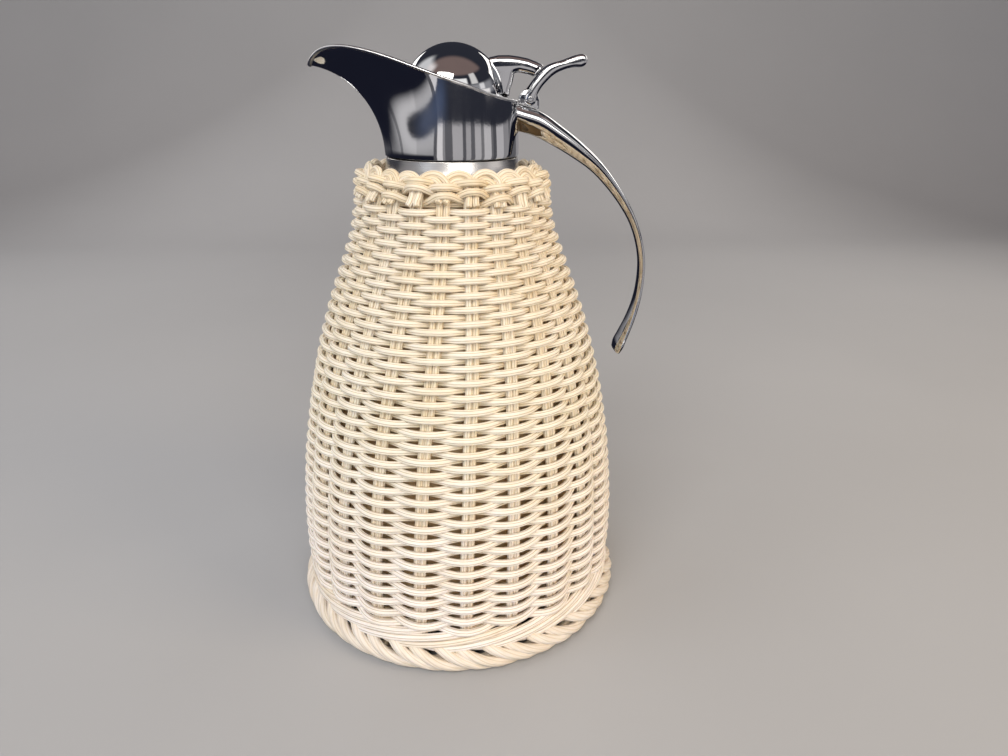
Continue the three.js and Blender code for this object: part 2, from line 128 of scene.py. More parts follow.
_gap = (360 + FRONT[0] - FRONT[-1]) / (STAKES - len(FRONT) + 1)
_base = FRONT + [FRONT[-1] + _gap * (i + 1) for i in range(STAKES - len(FRONT))]
_base = np.array(_base) + RNG.uniform(-0.35, 0.35, STAKES)
_base = np.roll(_base, -4)                      # stake 0 is the one just right of the camera
_base[-4:] -= 360 * (_base[-4:] > 180)
_base = np.where(np.arange(STAKES) >= STAKES - 4, _base + 360, _base)
_keys = np.arange(-2 * STAKES, 3 * STAKES)
_angle = np.concatenate([_base + 360 * t for t in range(-2, 3)])


def stake_angle(s, z):
    """Plan angle in radians of stake coordinate s (whole numbers are stakes) at height z."""
    s = np.asarray(s, float)
    turn = np.floor(s / STAKES)
    return np.radians(CAM_DIR + spline(_keys, _angle, np.ravel(s - turn * STAKES)).reshape(s.shape) + 360 * turn + lean(z))


def polar(theta, r, z):
    return np.stack([r * np.cos(theta), r * np.sin(theta), z], -1)


def radial(theta):
    return np.stack([np.cos(theta), np.sin(theta), 0 * theta], -1)


# ------------------------------------------------------------------ mesh helpers
def make_mesh(name, verts, faces, smooth=True, sharp=None):
    me = bpy.data.meshes.new(name)
    me.from_pydata([tuple(v) for v in np.asarray(verts, float) * MM], [], [tuple(f) for f in faces])
    me.validate()
    if smooth:
        me.polygons.foreach_set("use_smooth", np.ones(len(me.polygons), bool))
    if sharp is not None:
        me.set_sharp_from_angle(angle=math.radians(sharp))
    me.update()
    ob = bpy.data.objects.new(name, me)
    bpy.context.collection.objects.link(ob)
    return ob


def outward(ob):
    bm = bmesh.new()
    bm.from_mesh(ob.data)
    bmesh.ops.remove_doubles(bm, verts=bm.verts, dist=1e-7)
    bmesh.ops.recalc_face_normals(bm, faces=bm.faces)
    bm.to_mesh(ob.data)
    bm.free()
    ob.data.update()


def finish_piece(ob, body, slot, *nodes):
    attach(ob, body)
    if nodes:
        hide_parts(*nodes)
    return ob


def fillet(points, radius, steps=5, closed=False):
    """Rounds the corners of a line of [a, b] points."""
    p = [np.array(q[:2], float) for q in points]
    out, n = [], len(p)
    for i in range(n):
        if not closed and i in (0, n - 1):
            out.append(p[i])
            continue
        a, b, c = p[i - 1], p[i], p[(i + 1) % n]
        u, v = a - b, c - b
        lu, lv = np.linalg.norm(u), np.linalg.norm(v)
        if lu < 1e-6 or lv < 1e-6:
            out.append(b)
            continue
        u, v = u / lu, v / lv
        turn = math.acos(max(-1, min(1, float(u @ v))))
        if turn > math.radians(168):
            out.append(b)
            continue
        r = radius if len(points[i]) < 3 else points[i][2]
        d = min(r / math.tan(turn / 2), 0.45 * lu, 0.45 * lv)
        s, e = b + u * d, b + v * d
        for t in np.linspace(0, 1, steps + 1):
            out.append((1 - t) ** 2 * s + 2 * t * (1 - t) * b + t ** 2 * e)
    return np.array(out)


def lathe(name, profile, segments=128, closed=True, shift=0.0, sharp=35):
    """Turned piece about Z from [radius, height] points."""
    prof = np.asarray(profile, float)
    n = len(prof)
    t = np.arange(segments) * 2 * math.pi / segments
    verts = np.stack([np.multiply.outer(np.cos(t), prof[:, 0]) + shift, np.multiply.outer(np.sin(t), prof[:, 0]),
                      np.broadcast_to(prof[:, 1], (segments, n))], -1).reshape(-1, 3)
    faces = []
    last = n if closed else n - 1
    for i in range(segments):
        k = (i + 1) % segments
        for j in range(last):
            m = (j + 1) % n
            faces.append((i * n + j, k * n + j, k * n + m, i * n + m))
    ob = make_mesh(name, verts, faces)
    outward(ob)
    ob.data.polygons.foreach_set("use_smooth", np.ones(len(ob.data.polygons), bool))
    ob.data.set_sharp_from_angle(angle=math.radians(sharp))
    return ob


def rounded_plate(name, outline, y0, y1, edge, detail=6, resolution=5):
    """Outline in X-Z carried from y0 to y1, with rolled edges."""
    cu = bpy.data.curves.new(name, "CURVE")
    cu.dimensions = "2D"
    cu.fill_mode = "BOTH"
    cu.extrude = ((y1 - y0) / 2 - edge) * MM
    cu.bevel_depth = edge * MM
    cu.bevel_resolution = resolution
    cu.offset = -edge * MM
    sp = cu.splines.new("POLY")
    p = np.asarray(outline, float)
    if detail:
        ring = np.vstack([p, p[:1]])
        k = np.concatenate([[0], np.cumsum(np.linalg.norm(np.diff(ring, axis=0), axis=1) ** 0.6)])
        x = np.concatenate([np.linspace(k[i], k[i + 1], detail, endpoint=False) for i in range(len(p))])
        p = spline(k, ring, x, closed=True)
    sp.points.add(len(p) - 1)
    for q, (x, z) in zip(sp.points, p):
        q.co = (x * MM, z * MM, 0, 1)
    sp.use_cyclic_u = True
    tmp = bpy.data.objects.new(name + "_curve", cu)
    bpy.context.collection.objects.link(tmp)
    bpy.context.view_layer.update()
    me = bpy.data.meshes.new_from_object(tmp.evaluated_get(bpy.context.evaluated_depsgraph_get()))
    bpy.data.objects.remove(tmp)
    bpy.data.curves.remove(cu)
    me.name = name
    ym = (y0 + y1) / 2 * MM
    me.transform(Matrix(((1, 0, 0, 0), (0, 0, -1, ym), (0, 1, 0, 0), (0, 0, 0, 1))))
    ob = bpy.data.objects.new(name, me)
    bpy.context.collection.objects.link(ob)
    me.materials.clear()
    outward(ob)
    me.polygons.foreach_set("use_smooth", np.ones(len(me.polygons), bool))
    me.set_sharp_from_angle(angle=math.radians(42))
    return ob


def carve(ob, cutter):
    """Takes the cutter's volume off a piece and removes the cutter."""
    mod = ob.modifiers.new("carve", "BOOLEAN")
    mod.operation, mod.object, mod.solver = "DIFFERENCE", cutter, "EXACT"
    bpy.context.view_layer.update()
    me = bpy.data.meshes.new_from_object(ob.evaluated_get(bpy.context.evaluated_depsgraph_get()))
    old = ob.data
    ob.modifiers.clear()
    ob.data = me
    me.name = ob.name
    bpy.data.meshes.remove(old)
    data = cutter.data
    bpy.data.objects.remove(cutter)
    bpy.data.meshes.remove(data)
    me.materials.clear()
    me.polygons.foreach_set("use_smooth", np.ones(len(me.polygons), bool))
    me.set_sharp_from_angle(angle=math.radians(42))


def cylinder_y(name, x, z, r, y0, y1, sides=64):
    t = np.arange(sides) * 2 * math.pi / sides
    ring = np.stack([x + r * np.cos(t), 0 * t, z + r * np.sin(t)], 1)
    a, b = ring.copy(), ring.copy()
    a[:, 1], b[:, 1] = y0, y1
    faces = [(i, (i + 1) % sides, sides + (i + 1) % sides, sides + i) for i in range(sides)]
    faces += [tuple(range(sides - 1, -1, -1)), tuple(range(sides, 2 * sides))]
    ob = make_mesh(name, np.vstack([a, b]), faces, smooth=False)
    outward(ob)
    return ob


def join_objects(first, *more):
    bpy.ops.object.select_all(action="DESELECT")
    for o in (first, *more):
        o.select_set(True)
    bpy.context.view_layer.objects.active = first
    bpy.ops.object.join()
    first.select_set(False)
    return first


# ------------------------------------------------------------------ reeds
class Reeds:
    """Collects fluted reeds and makes one mesh of them, with strip UVs."""

    def __init__(self, lobes=6, groove=0.15, line=0.0):
        at = np.array([0.0, 0.13, 0.37, 0.63, 0.87])
        self.a = (np.arange(lobes)[:, None] + at).ravel() * 2 * math.pi / lobes
        self.f = np.tile([1 - groove, 1 - 0.2 * groove, 1.012, 1.012, 1 - 0.2 * groove], lobes)
        # painted shade in the grooves: the value is lowest in each groove and darkens the colour there; line sets how
        # dark
        self.groove_shade = np.tile([line, max(line, 0.7), 1.0, 1.0, max(line, 0.7)], lobes)
        self.v, self.quads, self.tris = [], [], []
        self.lobes, self.depth, self.tone = [], [], []
        self.uv, self.uvt, self.rows = [], [], []
        self.count = 0

    def add(self, path, out, radius, depth=1.0, roll=0.0, twist=0.0, tone=None, ends=(True, True), row=90, drift=None):
        P = np.asarray(path, float)
        n, m = len(P), len(self.a)
        rad = np.broadcast_to(np.asarray(radius, float), (n,))
        # painted shade along the reed: a lower depth value darkens and browns it where it runs deeper into the weave
        dep = np.broadcast_to(np.asarray(depth, float), (n,))
        T = np.gradient(P, axis=0)
        T /= np.linalg.norm(T, axis=1)[:, None]
        O = out - (out * T).sum(1)[:, None] * T
        O /= np.linalg.norm(O, axis=1)[:, None]
        B = np.cross(T, O)
        s = np.concatenate([[0], np.cumsum(np.linalg.norm(np.diff(P, axis=0), axis=1))])
        seed, before = drift if drift else (int(RNG.integers(1 << 30)), 0.0)
        ang = self.a[None, :] + (roll + twist * s + wander((s + before) / 60.0, seed, 0.35))[:, None]
        k = rad[:, None] * self.f[None, :]
        V = P[:, None] + (k * np.cos(ang))[..., None] * O[:, None] + (k * np.sin(ang))[..., None] * B[:, None]
        base = self.count
        i = np.arange(n - 1)[:, None]
        j = np.arange(m)[None, :]
        jn = (j + 1) % m
        q = np.stack([base + i * m + j, base + i * m + jn, base + (i + 1) * m + jn, base + (i + 1) * m + j], -1)
        self.quads.append(q.reshape(-1, 4))
        tone = float(RNG.uniform(0, 1)) if tone is None else tone
        self.v.append(V.reshape(-1, 3))
        self.lobes.append(np.broadcast_to(self.groove_shade, (n, m)).ravel())
        self.depth.append(np.broadcast_to(dep[:, None], (n, m)).ravel())
        self.tone.append(np.full(n * m, tone))
        # strip layout: one row of the sheet for each stretch of the reed
        ii = np.broadcast_to(i, (n - 1, m))
        jj = np.broadcast_to(j, (n - 1, m))
        r = ii // row
        u0 = (ii - r * row) / row
        u1 = u0 + 1 / row
        first = len(self.rows)
        self.rows.extend([0] * (int((n - 2) // row) + 1))
        r = r + first
        v0, v1 = jj / m, (jj + 1) / m
        self.uv.append(np.stack([u0, r + 0.04 + 0.92 * v0, u0, r + 0.04 + 0.92 * v1, u1, r + 0.04 + 0.92 * v1,
                                 u1, r + 0.04 + 0.92 * v0], -1).reshape(-1, 4, 2))
        L = s / 10.0
        a0, a1 = L[ii], L[ii + 1]
        self.uvt.append(np.stack([a0, v0, a0, v1, a1, v1, a1, v0], -1).reshape(-1, 4, 2))
        self.count += n * m
        for end, on in ((0, ends[0]), (n - 1, ends[1])):
            if not on:
                continue
            sign = -1 if end == 0 else 1
            inner = P[end] + T[end] * sign * 0.28
            ring = inner + (V[end] - P[end]) * 0.72
            mid = P[end] + T[end] * sign * 0.33
            b2 = self.count
            self.v.append(np.vstack([ring, mid[None]]))
            # cut ends get painted shade: lower groove and depth values darken them
            self.lobes.append(np.full(m + 1, 0.35))
            self.depth.append(np.full(m + 1, dep[end] * 0.75))
            self.tone.append(np.full(m + 1, tone))
            self.count += m + 1
            jv = np.arange(m)
            jw = (jv + 1) % m
            o = base + end * m
            if sign > 0:
                qq = np.stack([o + jv, o + jw, b2 + jw, b2 + jv], -1)
                tt = np.stack([np.full(m, b2 + m), b2 + jv, b2 + jw], -1)
            else:
                qq = np.stack([o + jw, o + jv, b2 + jv, b2 + jw], -1)
                tt = np.stack([np.full(m, b2 + m), b2 + jw, b2 + jv], -1)
            self.quads.append(qq)
            self.uv.append(np.tile(np.array([[0.001, first + 0.01], [0.002, first + 0.01], [0.002, first + 0.02], [0.001, first + 0.02]]), (m, 1, 1)))
            self.uvt.append(np.tile(np.array([[L[end], 0.1], [L[end], 0.2], [L[end] + 0.02, 0.2], [L[end] + 0.02, 0.1]]), (m, 1, 1)))
            self.tris.append(tt)

    def build(self, name):
        v = np.vstack(self.v) * MM
        q = np.vstack(self.quads)
        t = np.vstack(self.tris) if self.tris else np.zeros((0, 3), int)
        me = bpy.data.meshes.new(name)
        me.vertices.add(len(v))
        me.vertices.foreach_set("co", v.ravel())
        loops = np.concatenate([q.ravel(), t.ravel()])
        me.loops.add(len(loops))
        me.loops.foreach_set("vertex_index", loops.astype(np.int32))
        start = np.concatenate([np.arange(len(q)) * 4, len(q) * 4 + np.arange(len(t)) * 3])
        me.polygons.add(len(q) + len(t))
        me.polygons.foreach_set("loop_start", start.astype(np.int32))
        me.polygons.foreach_set("use_smooth", np.ones(len(q) + len(t), bool))
        for key, data in (("groove_shade", self.lobes), ("depth", self.depth), ("tone", self.tone)):
            at = me.attributes.new(key, "FLOAT", "POINT")
            at.data.foreach_set("value", np.concatenate(data).astype(np.float32))
        rows = max(1, len(self.rows))
        uv = np.concatenate([np.vstack(self.uv).reshape(-1, 2), np.tile([0.0015, 0.015], (len(t) * 3, 1))])
        uv[:, 1] /= rows
        lay = me.uv_layers.new(name="OFBake")
        lay.data.foreach_set("uv", uv.astype(np.float32).ravel())
        uvt = np.concatenate([np.vstack(self.uvt).reshape(-1, 2), np.tile([0.05, 0.15], (len(t) * 3, 1))])
        lay = me.uv_layers.new(name="grain")
        lay.data.foreach_set("uv", uvt.astype(np.float32).ravel())
        me.uv_layers.active = me.uv_layers["OFBake"]
        me.update(calc_edges=True)
        me.validate()
        ob = bpy.data.objects.new(name, me)
        bpy.context.collection.objects.link(ob)
        return ob


# ------------------------------------------------------------------ materials
def new_material(name):
    m = bpy.data.materials.new(name)
    m.use_nodes = True
    nt = m.node_tree
    return m, nt, nt.nodes["Principled BSDF"]


def node(nt, kind, **sets):
    n = nt.nodes.new(kind)
    for k, v in sets.items():
        if k in n.inputs:
            n.inputs[k].default_value = v
        else:
            setattr(n, k, v)
    return n


def ramp(nt, stops):
    n = nt.nodes.new("ShaderNodeValToRGB")
    e = n.color_ramp.elements
    while len(e) < len(stops):
        e.new(0.5)
    for el, (pos, col) in zip(e, stops):
        el.position = pos
        el.color = (*col, 1) if len(col) == 3 else col
    return n


def span(nt, source, a, b, c, d):
    n = nt.nodes.new("ShaderNodeMapRange")
    for k, v in zip(("From Min", "From Max", "To Min", "To Max"), (a, b, c, d)):
        n.inputs[k].default_value = v
    nt.links.new(source, n.inputs["Value"])
    return n.outputs[0]


def mix_color(nt, kind, factor, a, b):
    n = nt.nodes.new("ShaderNodeMix")
    n.data_type = "RGBA"
    n.blend_type = kind
    for s, v in ((n.inputs[0], factor), (n.inputs[6], a), (n.inputs[7], b)):
        if isinstance(v, (int, float)):
            s.default_value = v
        elif isinstance(v, tuple):
            s.default_value = (*v, 1)
        else:
            nt.links.new(v, s)
    return n.outputs[2]


def reed_material():
    m, nt, bsdf = new_material("reed_cream")
    uv = nt.nodes.new("ShaderNodeUVMap")
    uv.uv_map = "grain"
    stretch = node(nt, "ShaderNodeMapping")
    stretch.inputs["Scale"].default_value = (0.55, 22.0, 1.0)
    nt.links.new(uv.outputs[0], stretch.inputs["Vector"])
    fibre = node(nt, "ShaderNodeTexNoise", Scale=1.6, Detail=5.0, Roughness=0.6)
    nt.links.new(stretch.outputs[0], fibre.inputs["Vector"])
    pos = nt.nodes.new("ShaderNodeTexCoord")
    patch = node(nt, "ShaderNodeTexNoise", Scale=55.0, Detail=3.0, Roughness=0.55)
    nt.links.new(pos.outputs["Object"], patch.inputs["Vector"])
    at = {k: node(nt, "ShaderNodeAttribute", attribute_name=k) for k in ("groove_shade", "depth", "tone")}
    shade = ramp(nt, [(0.0, (0.82, 0.725, 0.61)), (0.42, (0.895, 0.823, 0.748)), (1.0, (0.93, 0.88, 0.85))])
    nt.links.new(span(nt, patch.outputs["Fac"], 0.3, 0.7, 0.25, 0.95), shade.inputs[0])
    height = nt.nodes.new("ShaderNodeSeparateXYZ")
    nt.links.new(pos.outputs["Object"], height.inputs[0])
    # painted light by height: cooler white low down, darker and yellower towards the top, standing for how the light
    # falls
    painted_light_by_height = ramp(nt, [(0.04, (0.925, 0.945, 0.985)), (0.08, (1, 1, 1)), (0.2, (1, 1, 1)),(0.55, (0.967, 0.967, 0.885)), (1.0, (0.935, 0.908, 0.808))])
    nt.links.new(span(nt, height.outputs["Z"], 0.0, 0.21, 0.0, 1.0), painted_light_by_height.inputs[0])
    tint = ramp(nt, [(0.0, (0.93, 0.875, 0.77)), (0.5, (1, 1, 1)), (1.0, (1.0, 0.985, 0.955))])
    nt.links.new(at["tone"].outputs["Fac"], tint.inputs[0])
    col = mix_color(nt, "MULTIPLY", 1.0, shade.outputs[0], tint.outputs[0])
    col = mix_color(nt, "MULTIPLY", 1.0, col, painted_light_by_height.outputs[0])
    streak = ramp(nt, [(0.3, (0.87, 0.82, 0.72)), (0.55, (1, 1, 1)), (1.0, (1, 1, 1))])
    nt.links.new(fibre.outputs["Fac"], streak.inputs[0])
    col = mix_color(nt, "MULTIPLY", 0.75, col, streak.outputs[0])
    # painted shade: grooves and cut ends darkened brown from the groove value
    groove = ramp(nt, [(0.0, (0.36, 0.28, 0.17)), (0.5, (0.92, 0.89, 0.83)), (0.75, (1, 1, 1))])
    nt.links.new(at["groove_shade"].outputs["Fac"], groove.inputs[0])
    col = mix_color(nt, "MULTIPLY", 0.9, col, groove.outputs[0])
    # painted shade: reeds darker and browner where they lie deeper in the weave, from the depth value
    inner = ramp(nt, [(0.0, (0.55, 0.43, 0.26)), (0.45, (0.90, 0.85, 0.755)), (0.85, (1, 1, 1))])
    nt.links.new(at["depth"].outputs["Fac"], inner.inputs[0])
    col = mix_color(nt, "MULTIPLY", 1.0, col, inner.outputs[0])
    nt.links.new(col, bsdf.inputs["Base Color"])
    nt.links.new(span(nt, fibre.outputs["Fac"], 0.2, 0.8, 0.36, 0.56), bsdf.inputs["Roughness"])
    bump = node(nt, "ShaderNodeBump", Strength=0.22, Distance=0.0004)
    nt.links.new(fibre.outputs["Fac"], bump.inputs["Height"])
    nt.links.new(bump.outputs[0], bsdf.inputs["Normal"])
    bsdf.inputs["Subsurface Weight"].default_value = 0.08
    bsdf.inputs["Subsurface Radius"].default_value = (0.0012, 0.0008, 0.0004)
    bsdf.inputs["Specular IOR Level"].default_value = 0.42
    return m


def chrome_material():
    m, nt, bsdf = new_material("polished_chrome")
    pos = nt.nodes.new("ShaderNodeTexCoord")
    smear = node(nt, "ShaderNodeTexNoise", Scale=38.0, Detail=4.0, Roughness=0.6)
    nt.links.new(pos.outputs["Object"], smear.inputs["Vector"])
    fine = node(nt, "ShaderNodeTexNoise", Scale=900.0, Detail=2.0)
    nt.links.new(pos.outputs["Object"], fine.inputs["Vector"])
    tone = ramp(nt, [(0.3, (0.66, 0.67, 0.69)), (0.7, (0.74, 0.745, 0.755))])
    nt.links.new(smear.outputs["Fac"], tone.inputs[0])
    nt.links.new(tone.outputs[0], bsdf.inputs["Base Color"])
    nt.links.new(span(nt, smear.outputs["Fac"], 0.35, 0.75, 0.035, 0.085), bsdf.inputs["Roughness"])
    bump = node(nt, "ShaderNodeBump", Strength=0.012, Distance=0.0002)
    nt.links.new(fine.outputs["Fac"], bump.inputs["Height"])
    nt.links.new(bump.outputs[0], bsdf.inputs["Normal"])
    bsdf.inputs["Metallic"].default_value = 1.0
    return m


def brushed_material(name, light, dark, rough, lines=2600.0, strength=0.06):
    m, nt, bsdf = new_material(name)
    pos = nt.nodes.new("ShaderNodeTexCoord")
    stretch = node(nt, "ShaderNodeMapping")
    stretch.inputs["Scale"].default_value = (8.0, 8.0, lines)
    nt.links.new(pos.outputs["Object"], stretch.inputs["Vector"])
    line = node(nt, "ShaderNodeTexNoise", Scale=1.0, Detail=3.0, Roughness=0.7)
    nt.links.new(stretch.outputs[0], line.inputs["Vector"])
    cloud = node(nt, "ShaderNodeTexNoise", Scale=45.0, Detail=3.0)
    nt.links.new(pos.outputs["Object"], cloud.inputs["Vector"])
    tone = ramp(nt, [(0.25, dark), (0.75, light)])
    nt.links.new(line.outputs["Fac"], tone.inputs[0])
    nt.links.new(tone.outputs[0], bsdf.inputs["Base Color"])
    nt.links.new(span(nt, cloud.outputs["Fac"], 0.3, 0.7, rough - 0.05, rough + 0.06), bsdf.inputs["Roughness"])
    bump = node(nt, "ShaderNodeBump", Strength=strength, Distance=0.0002)
    nt.links.new(line.outputs["Fac"], bump.inputs["Height"])
    nt.links.new(bump.outputs[0], bsdf.inputs["Normal"])
    bsdf.inputs["Metallic"].default_value = 1.0
    bsdf.inputs["Anisotropic"].default_value = 0.55
    tan = nt.nodes.new("ShaderNodeTangent")
    tan.direction_type = "RADIAL"
    tan.axis = "Z"
    nt.links.new(tan.outputs[0], bsdf.inputs["Tangent"])
    return m


def grain_material(name, light, dark, rough, scale, strength, sheen=0.0):
    m, nt, bsdf = new_material(name)
    pos = nt.nodes.new("ShaderNodeTexCoord")
    grain = node(nt, "ShaderNodeTexNoise", Scale=scale, Detail=3.0, Roughness=0.6)
    nt.links.new(pos.outputs["Object"], grain.inputs["Vector"])
    cloud = node(nt, "ShaderNodeTexNoise", Scale=40.0, Detail=4.0)
    nt.links.new(pos.outputs["Object"], cloud.inputs["Vector"])
    tone = ramp(nt, [(0.3, dark), (0.7, light)])
    nt.links.new(cloud.outputs["Fac"], tone.inputs[0])
    nt.links.new(tone.outputs[0], bsdf.inputs["Base Color"])
    nt.links.new(span(nt, grain.outputs["Fac"], 0.3, 0.7, rough - 0.07, rough + 0.07), bsdf.inputs["Roughness"])
    bump = node(nt, "ShaderNodeBump", Strength=strength, Distance=0.0003)
    nt.links.new(grain.outputs["Fac"], bump.inputs["Height"])
    nt.links.new(bump.outputs[0], bsdf.inputs["Normal"])
    if sheen:
        bsdf.inputs["Sheen Weight"].default_value = sheen
    return m


REED = reed_material()
CHROME = chrome_material()
COLLAR = brushed_material("brushed_collar", (0.74, 0.715, 0.69), (0.62, 0.60, 0.58), 0.24)
# lighter metal for the rim edge, a painted highlight so the rim reads as a bright line
RIM_HIGHLIGHT = brushed_material("painted_rim_highlight", (0.88, 0.88, 0.885), (0.82, 0.82, 0.83), 0.30, lines=900.0, strength=0.01)
LINER = brushed_material("satin_liner", (0.60, 0.60, 0.60), (0.50, 0.50, 0.50), 0.33, lines=1500.0)
FIXING = brushed_material("plain_steel", (0.60, 0.60, 0.61), (0.50, 0.50, 0.51), 0.3, lines=4000.0, strength=0.03)
# brown painted shade: the colour the gaps in the weave show, given to the steel behind the weave
PAINTED_GAP_SHADE = grain_material("painted_gap_shade", (0.68, 0.49, 0.285), (0.57, 0.40, 0.225), 0.6, 700.0, 0.1)
PLASTIC = grain_material("black_plastic", (0.030, 0.031, 0.034), (0.018, 0.019, 0.021), 0.47, 1800.0, 0.16)
SILICONE = grain_material("silicone", (0.70, 0.69, 0.655), (0.62, 0.61, 0.575), 0.58, 1100.0, 0.08, sheen=0.12)


def paint(ob, material):
    ob.data.materials.clear()
    ob.data.materials.append(material)


# ------------------------------------------------------------------ wicker
def surface_slope(z):
    return (sleeve_r(z + 1.5) - sleeve_r(z - 1.5)) / 3.0


def row_z(n):
    return np.where(n >= 0, 21 + 3.30 * n - 0.00434 * n * n, 21 + 3.25 * n) - 0.4 * smoothstep((n - 42) / 16)


def core_r(z):
    """Radius of the middle of the weave, where the stakes stand."""
    low = sleeve_r(np.minimum(z, 204)) - 4.85
    top = spline([196, 204, 209, 212, 217.5], [43.6, 42.25, 41.3, 40.4, 39.1], np.clip(z, 196, 217.5))
    return np.where(z < 197, low, np.where(z > 204, top, low + (top - low) * smoothstep((z - 197) / 7)))


STEP = 8
PER_TURN = STAKES * STEP
START = -0.8
s_all = np.arange(int(START * PER_TURN), int(63.1 * PER_TURN) + 1) / STEP
n_all = s_all / STAKES
z_all = row_z(n_all) + wander(s_all / 9.0, 7, 0.16) + wander(s_all / 2.6, 8, 0.12)
theta_all = stake_angle(s_all, z_all)
wave = np.cos(math.pi * s_all)
wave = wave + np.interp(n_all, [0, 20, 45, 62], [0.05, 0.16, 0.38, 0.42]) * (1 - wave ** 2)
slope = surface_slope(np.clip(z_all, 9, 208))
cosb = 1 / np.sqrt(1 + slope ** 2)
sinb = -slope * cosb
pitch = np.interp(n_all, [-1, 0, 62], [3.3, 3.3, 2.76])
fat = np.interp(n_all, [-1, 1, 30, 62], [1.78, 1.72, 1.66, 1.47])
fat = fat * (1 + wander(s_all / 3.1, 9, 0.03))
outwards = 1.85 + fat
reach = np.where(wave > 0, outwards, 2.5) * wave * smoothstep((n_all + 1.1) / 1.1)
tuck = smoothstep((n_all - 62.15) / 0.3)              # the last turn is tucked in behind the stakes
reach = reach * (1 - tuck) - 1.7 * tuck
r_all = core_r(z_all) + reach * cosb
zz_all = z_all + reach * sinb * 0.8
path_all = polar(theta_all, r_all, zz_all)
out_all = radial(theta_all) * cosb[:, None]
out_all[:, 2] += sinb
# painted shade values: lower where the weaver passes behind a stake and on the tucked last turn, darkening the reed
# colour
depth_all = np.clip(0.78 + 0.5 * wave, 0, 1) * (1 - 0.6 * tuck)

length_all = np.concatenate([[0], np.cumsum(np.linalg.norm(np.diff(path_all, axis=0), axis=1))])
bands = [START, 12.5, 24.5, 36.5, 49.5, 63.1]
for b in range(len(bands) - 1):
    reeds = Reeds()
    i0 = int(np.searchsorted(n_all, bands[b] - 1e-6))
    i1 = min(int(np.searchsorted(n_all, bands[b + 1] - 1e-6)), len(s_all) - 1)
    sel = slice(i0, i1 + 1)
    reeds.add(path_all[sel], out_all[sel], fat[sel], depth_all[sel], roll=0.26, tone=0.55,
              ends=(b == 0, b == len(bands) - 2), row=PER_TURN, drift=(4242, length_all[i0]))
    ob = reeds.build("weaver_rows_%d" % (b + 1))
    paint(ob, REED)
    finish_piece(ob, "carafe", "reed", "wicker_wall")

# bottom of the wall: one strand from each stake, over three stakes and up, then behind the next
wale = Reeds()
WU = np.array([-0.6, -0.25, 0.1, 0.5, 1.0, 1.5, 2.0, 2.5, 2.85, 3.2, 3.6])
WZ = np.array([9.6, 9.9, 10.5, 11.4, 13.0, 14.8, 16.7, 18.5, 19.6, 20.5, 21.2])
WR = np.array([-2.6, -1.6, 1.3, 3.3, 3.85, 3.75, 3.45, 2.9, 1.9, -0.4, -2.6])
for k in range(STAKES):
    u = np.linspace(-0.6, 3.6, 58)
    z = spline(WU, WZ, u) + wander(u + k, 300 + k, 0.25)
    r = core_r(z) + spline(WU, WR, u) + wander(u + k, 340 + k, 0.12)
    th = stake_angle(k + u, z)
    # painted shade: darker where the strand runs in behind the stakes
    dep = np.clip(0.55 + 0.16 * spline(WU, WR, u), 0, 1)
    wale.add(polar(th, r, z), radial(th), 1.82 * (1 + wander(u + k, 380 + k, 0.03)), dep, roll=RNG.uniform(0, 6.28), row=60)
ob = wale.build("wale_reeds")
paint(ob, REED)
finish_piece(ob, "carafe", "reed", "wicker_wale")

# stakes: pairs of reeds that run up, arch over to the right and end in front of the next stake
stake_low, stake_high = Reeds(), (Reeds(), Reeds())
arch_outer = np.array([
    [-1.44, 198, 0], [-1.44, 204, 42.25], [-1.44, 209, 41.3], [-1.44, 212, 40.4], [-1.44, 215, 39.8], [-1.2, 217.0, 39.3], [-0.2, 218.9, 38.9],
    [1.2, 220.5, 38.5], [3.0, 222.2, 38.2], [5.0, 223.2, 38.1], [7.0, 223.45, 38.1], [9.1, 223.0, 38.4], [11.0, 221.8, 39.0], [12.5, 220.2, 39.8],
    [13.2, 218.2, 40.7], [13.5, 216.3, 41.7], [13.6, 214.3, 42.8], [13.6, 212.4, 43.9], [13.6, 210.6, 44.8]])
arch_inner = np.array([
    [1.44, 198, 0], [1.44, 204, 42.25], [1.44, 209, 41.3], [1.44, 212, 40.4], [1.6, 215, 39.9], [2.0, 217.0, 39.6], [2.8, 218.8, 39.3],
    [4.2, 220.4, 39.1], [6.0, 221.2, 39.1], [7.8, 221.1, 39.3], [9.3, 220.0, 39.8], [10.2, 218.3, 40.6], [10.6, 216.4, 41.6],
    [10.8, 214.4, 42.7], [10.8, 212.4, 43.9], [10.8, 210.6, 44.8]])
SPLIT_Z = 150.0
END_Z = {-3: 210.8, -2: 212.4, -1: 211.0, 0: 210.4, 1: 209.0, 2: 210.3, 3: 209.6}


def signed(k):
    return k if k < 12 else k - STAKES


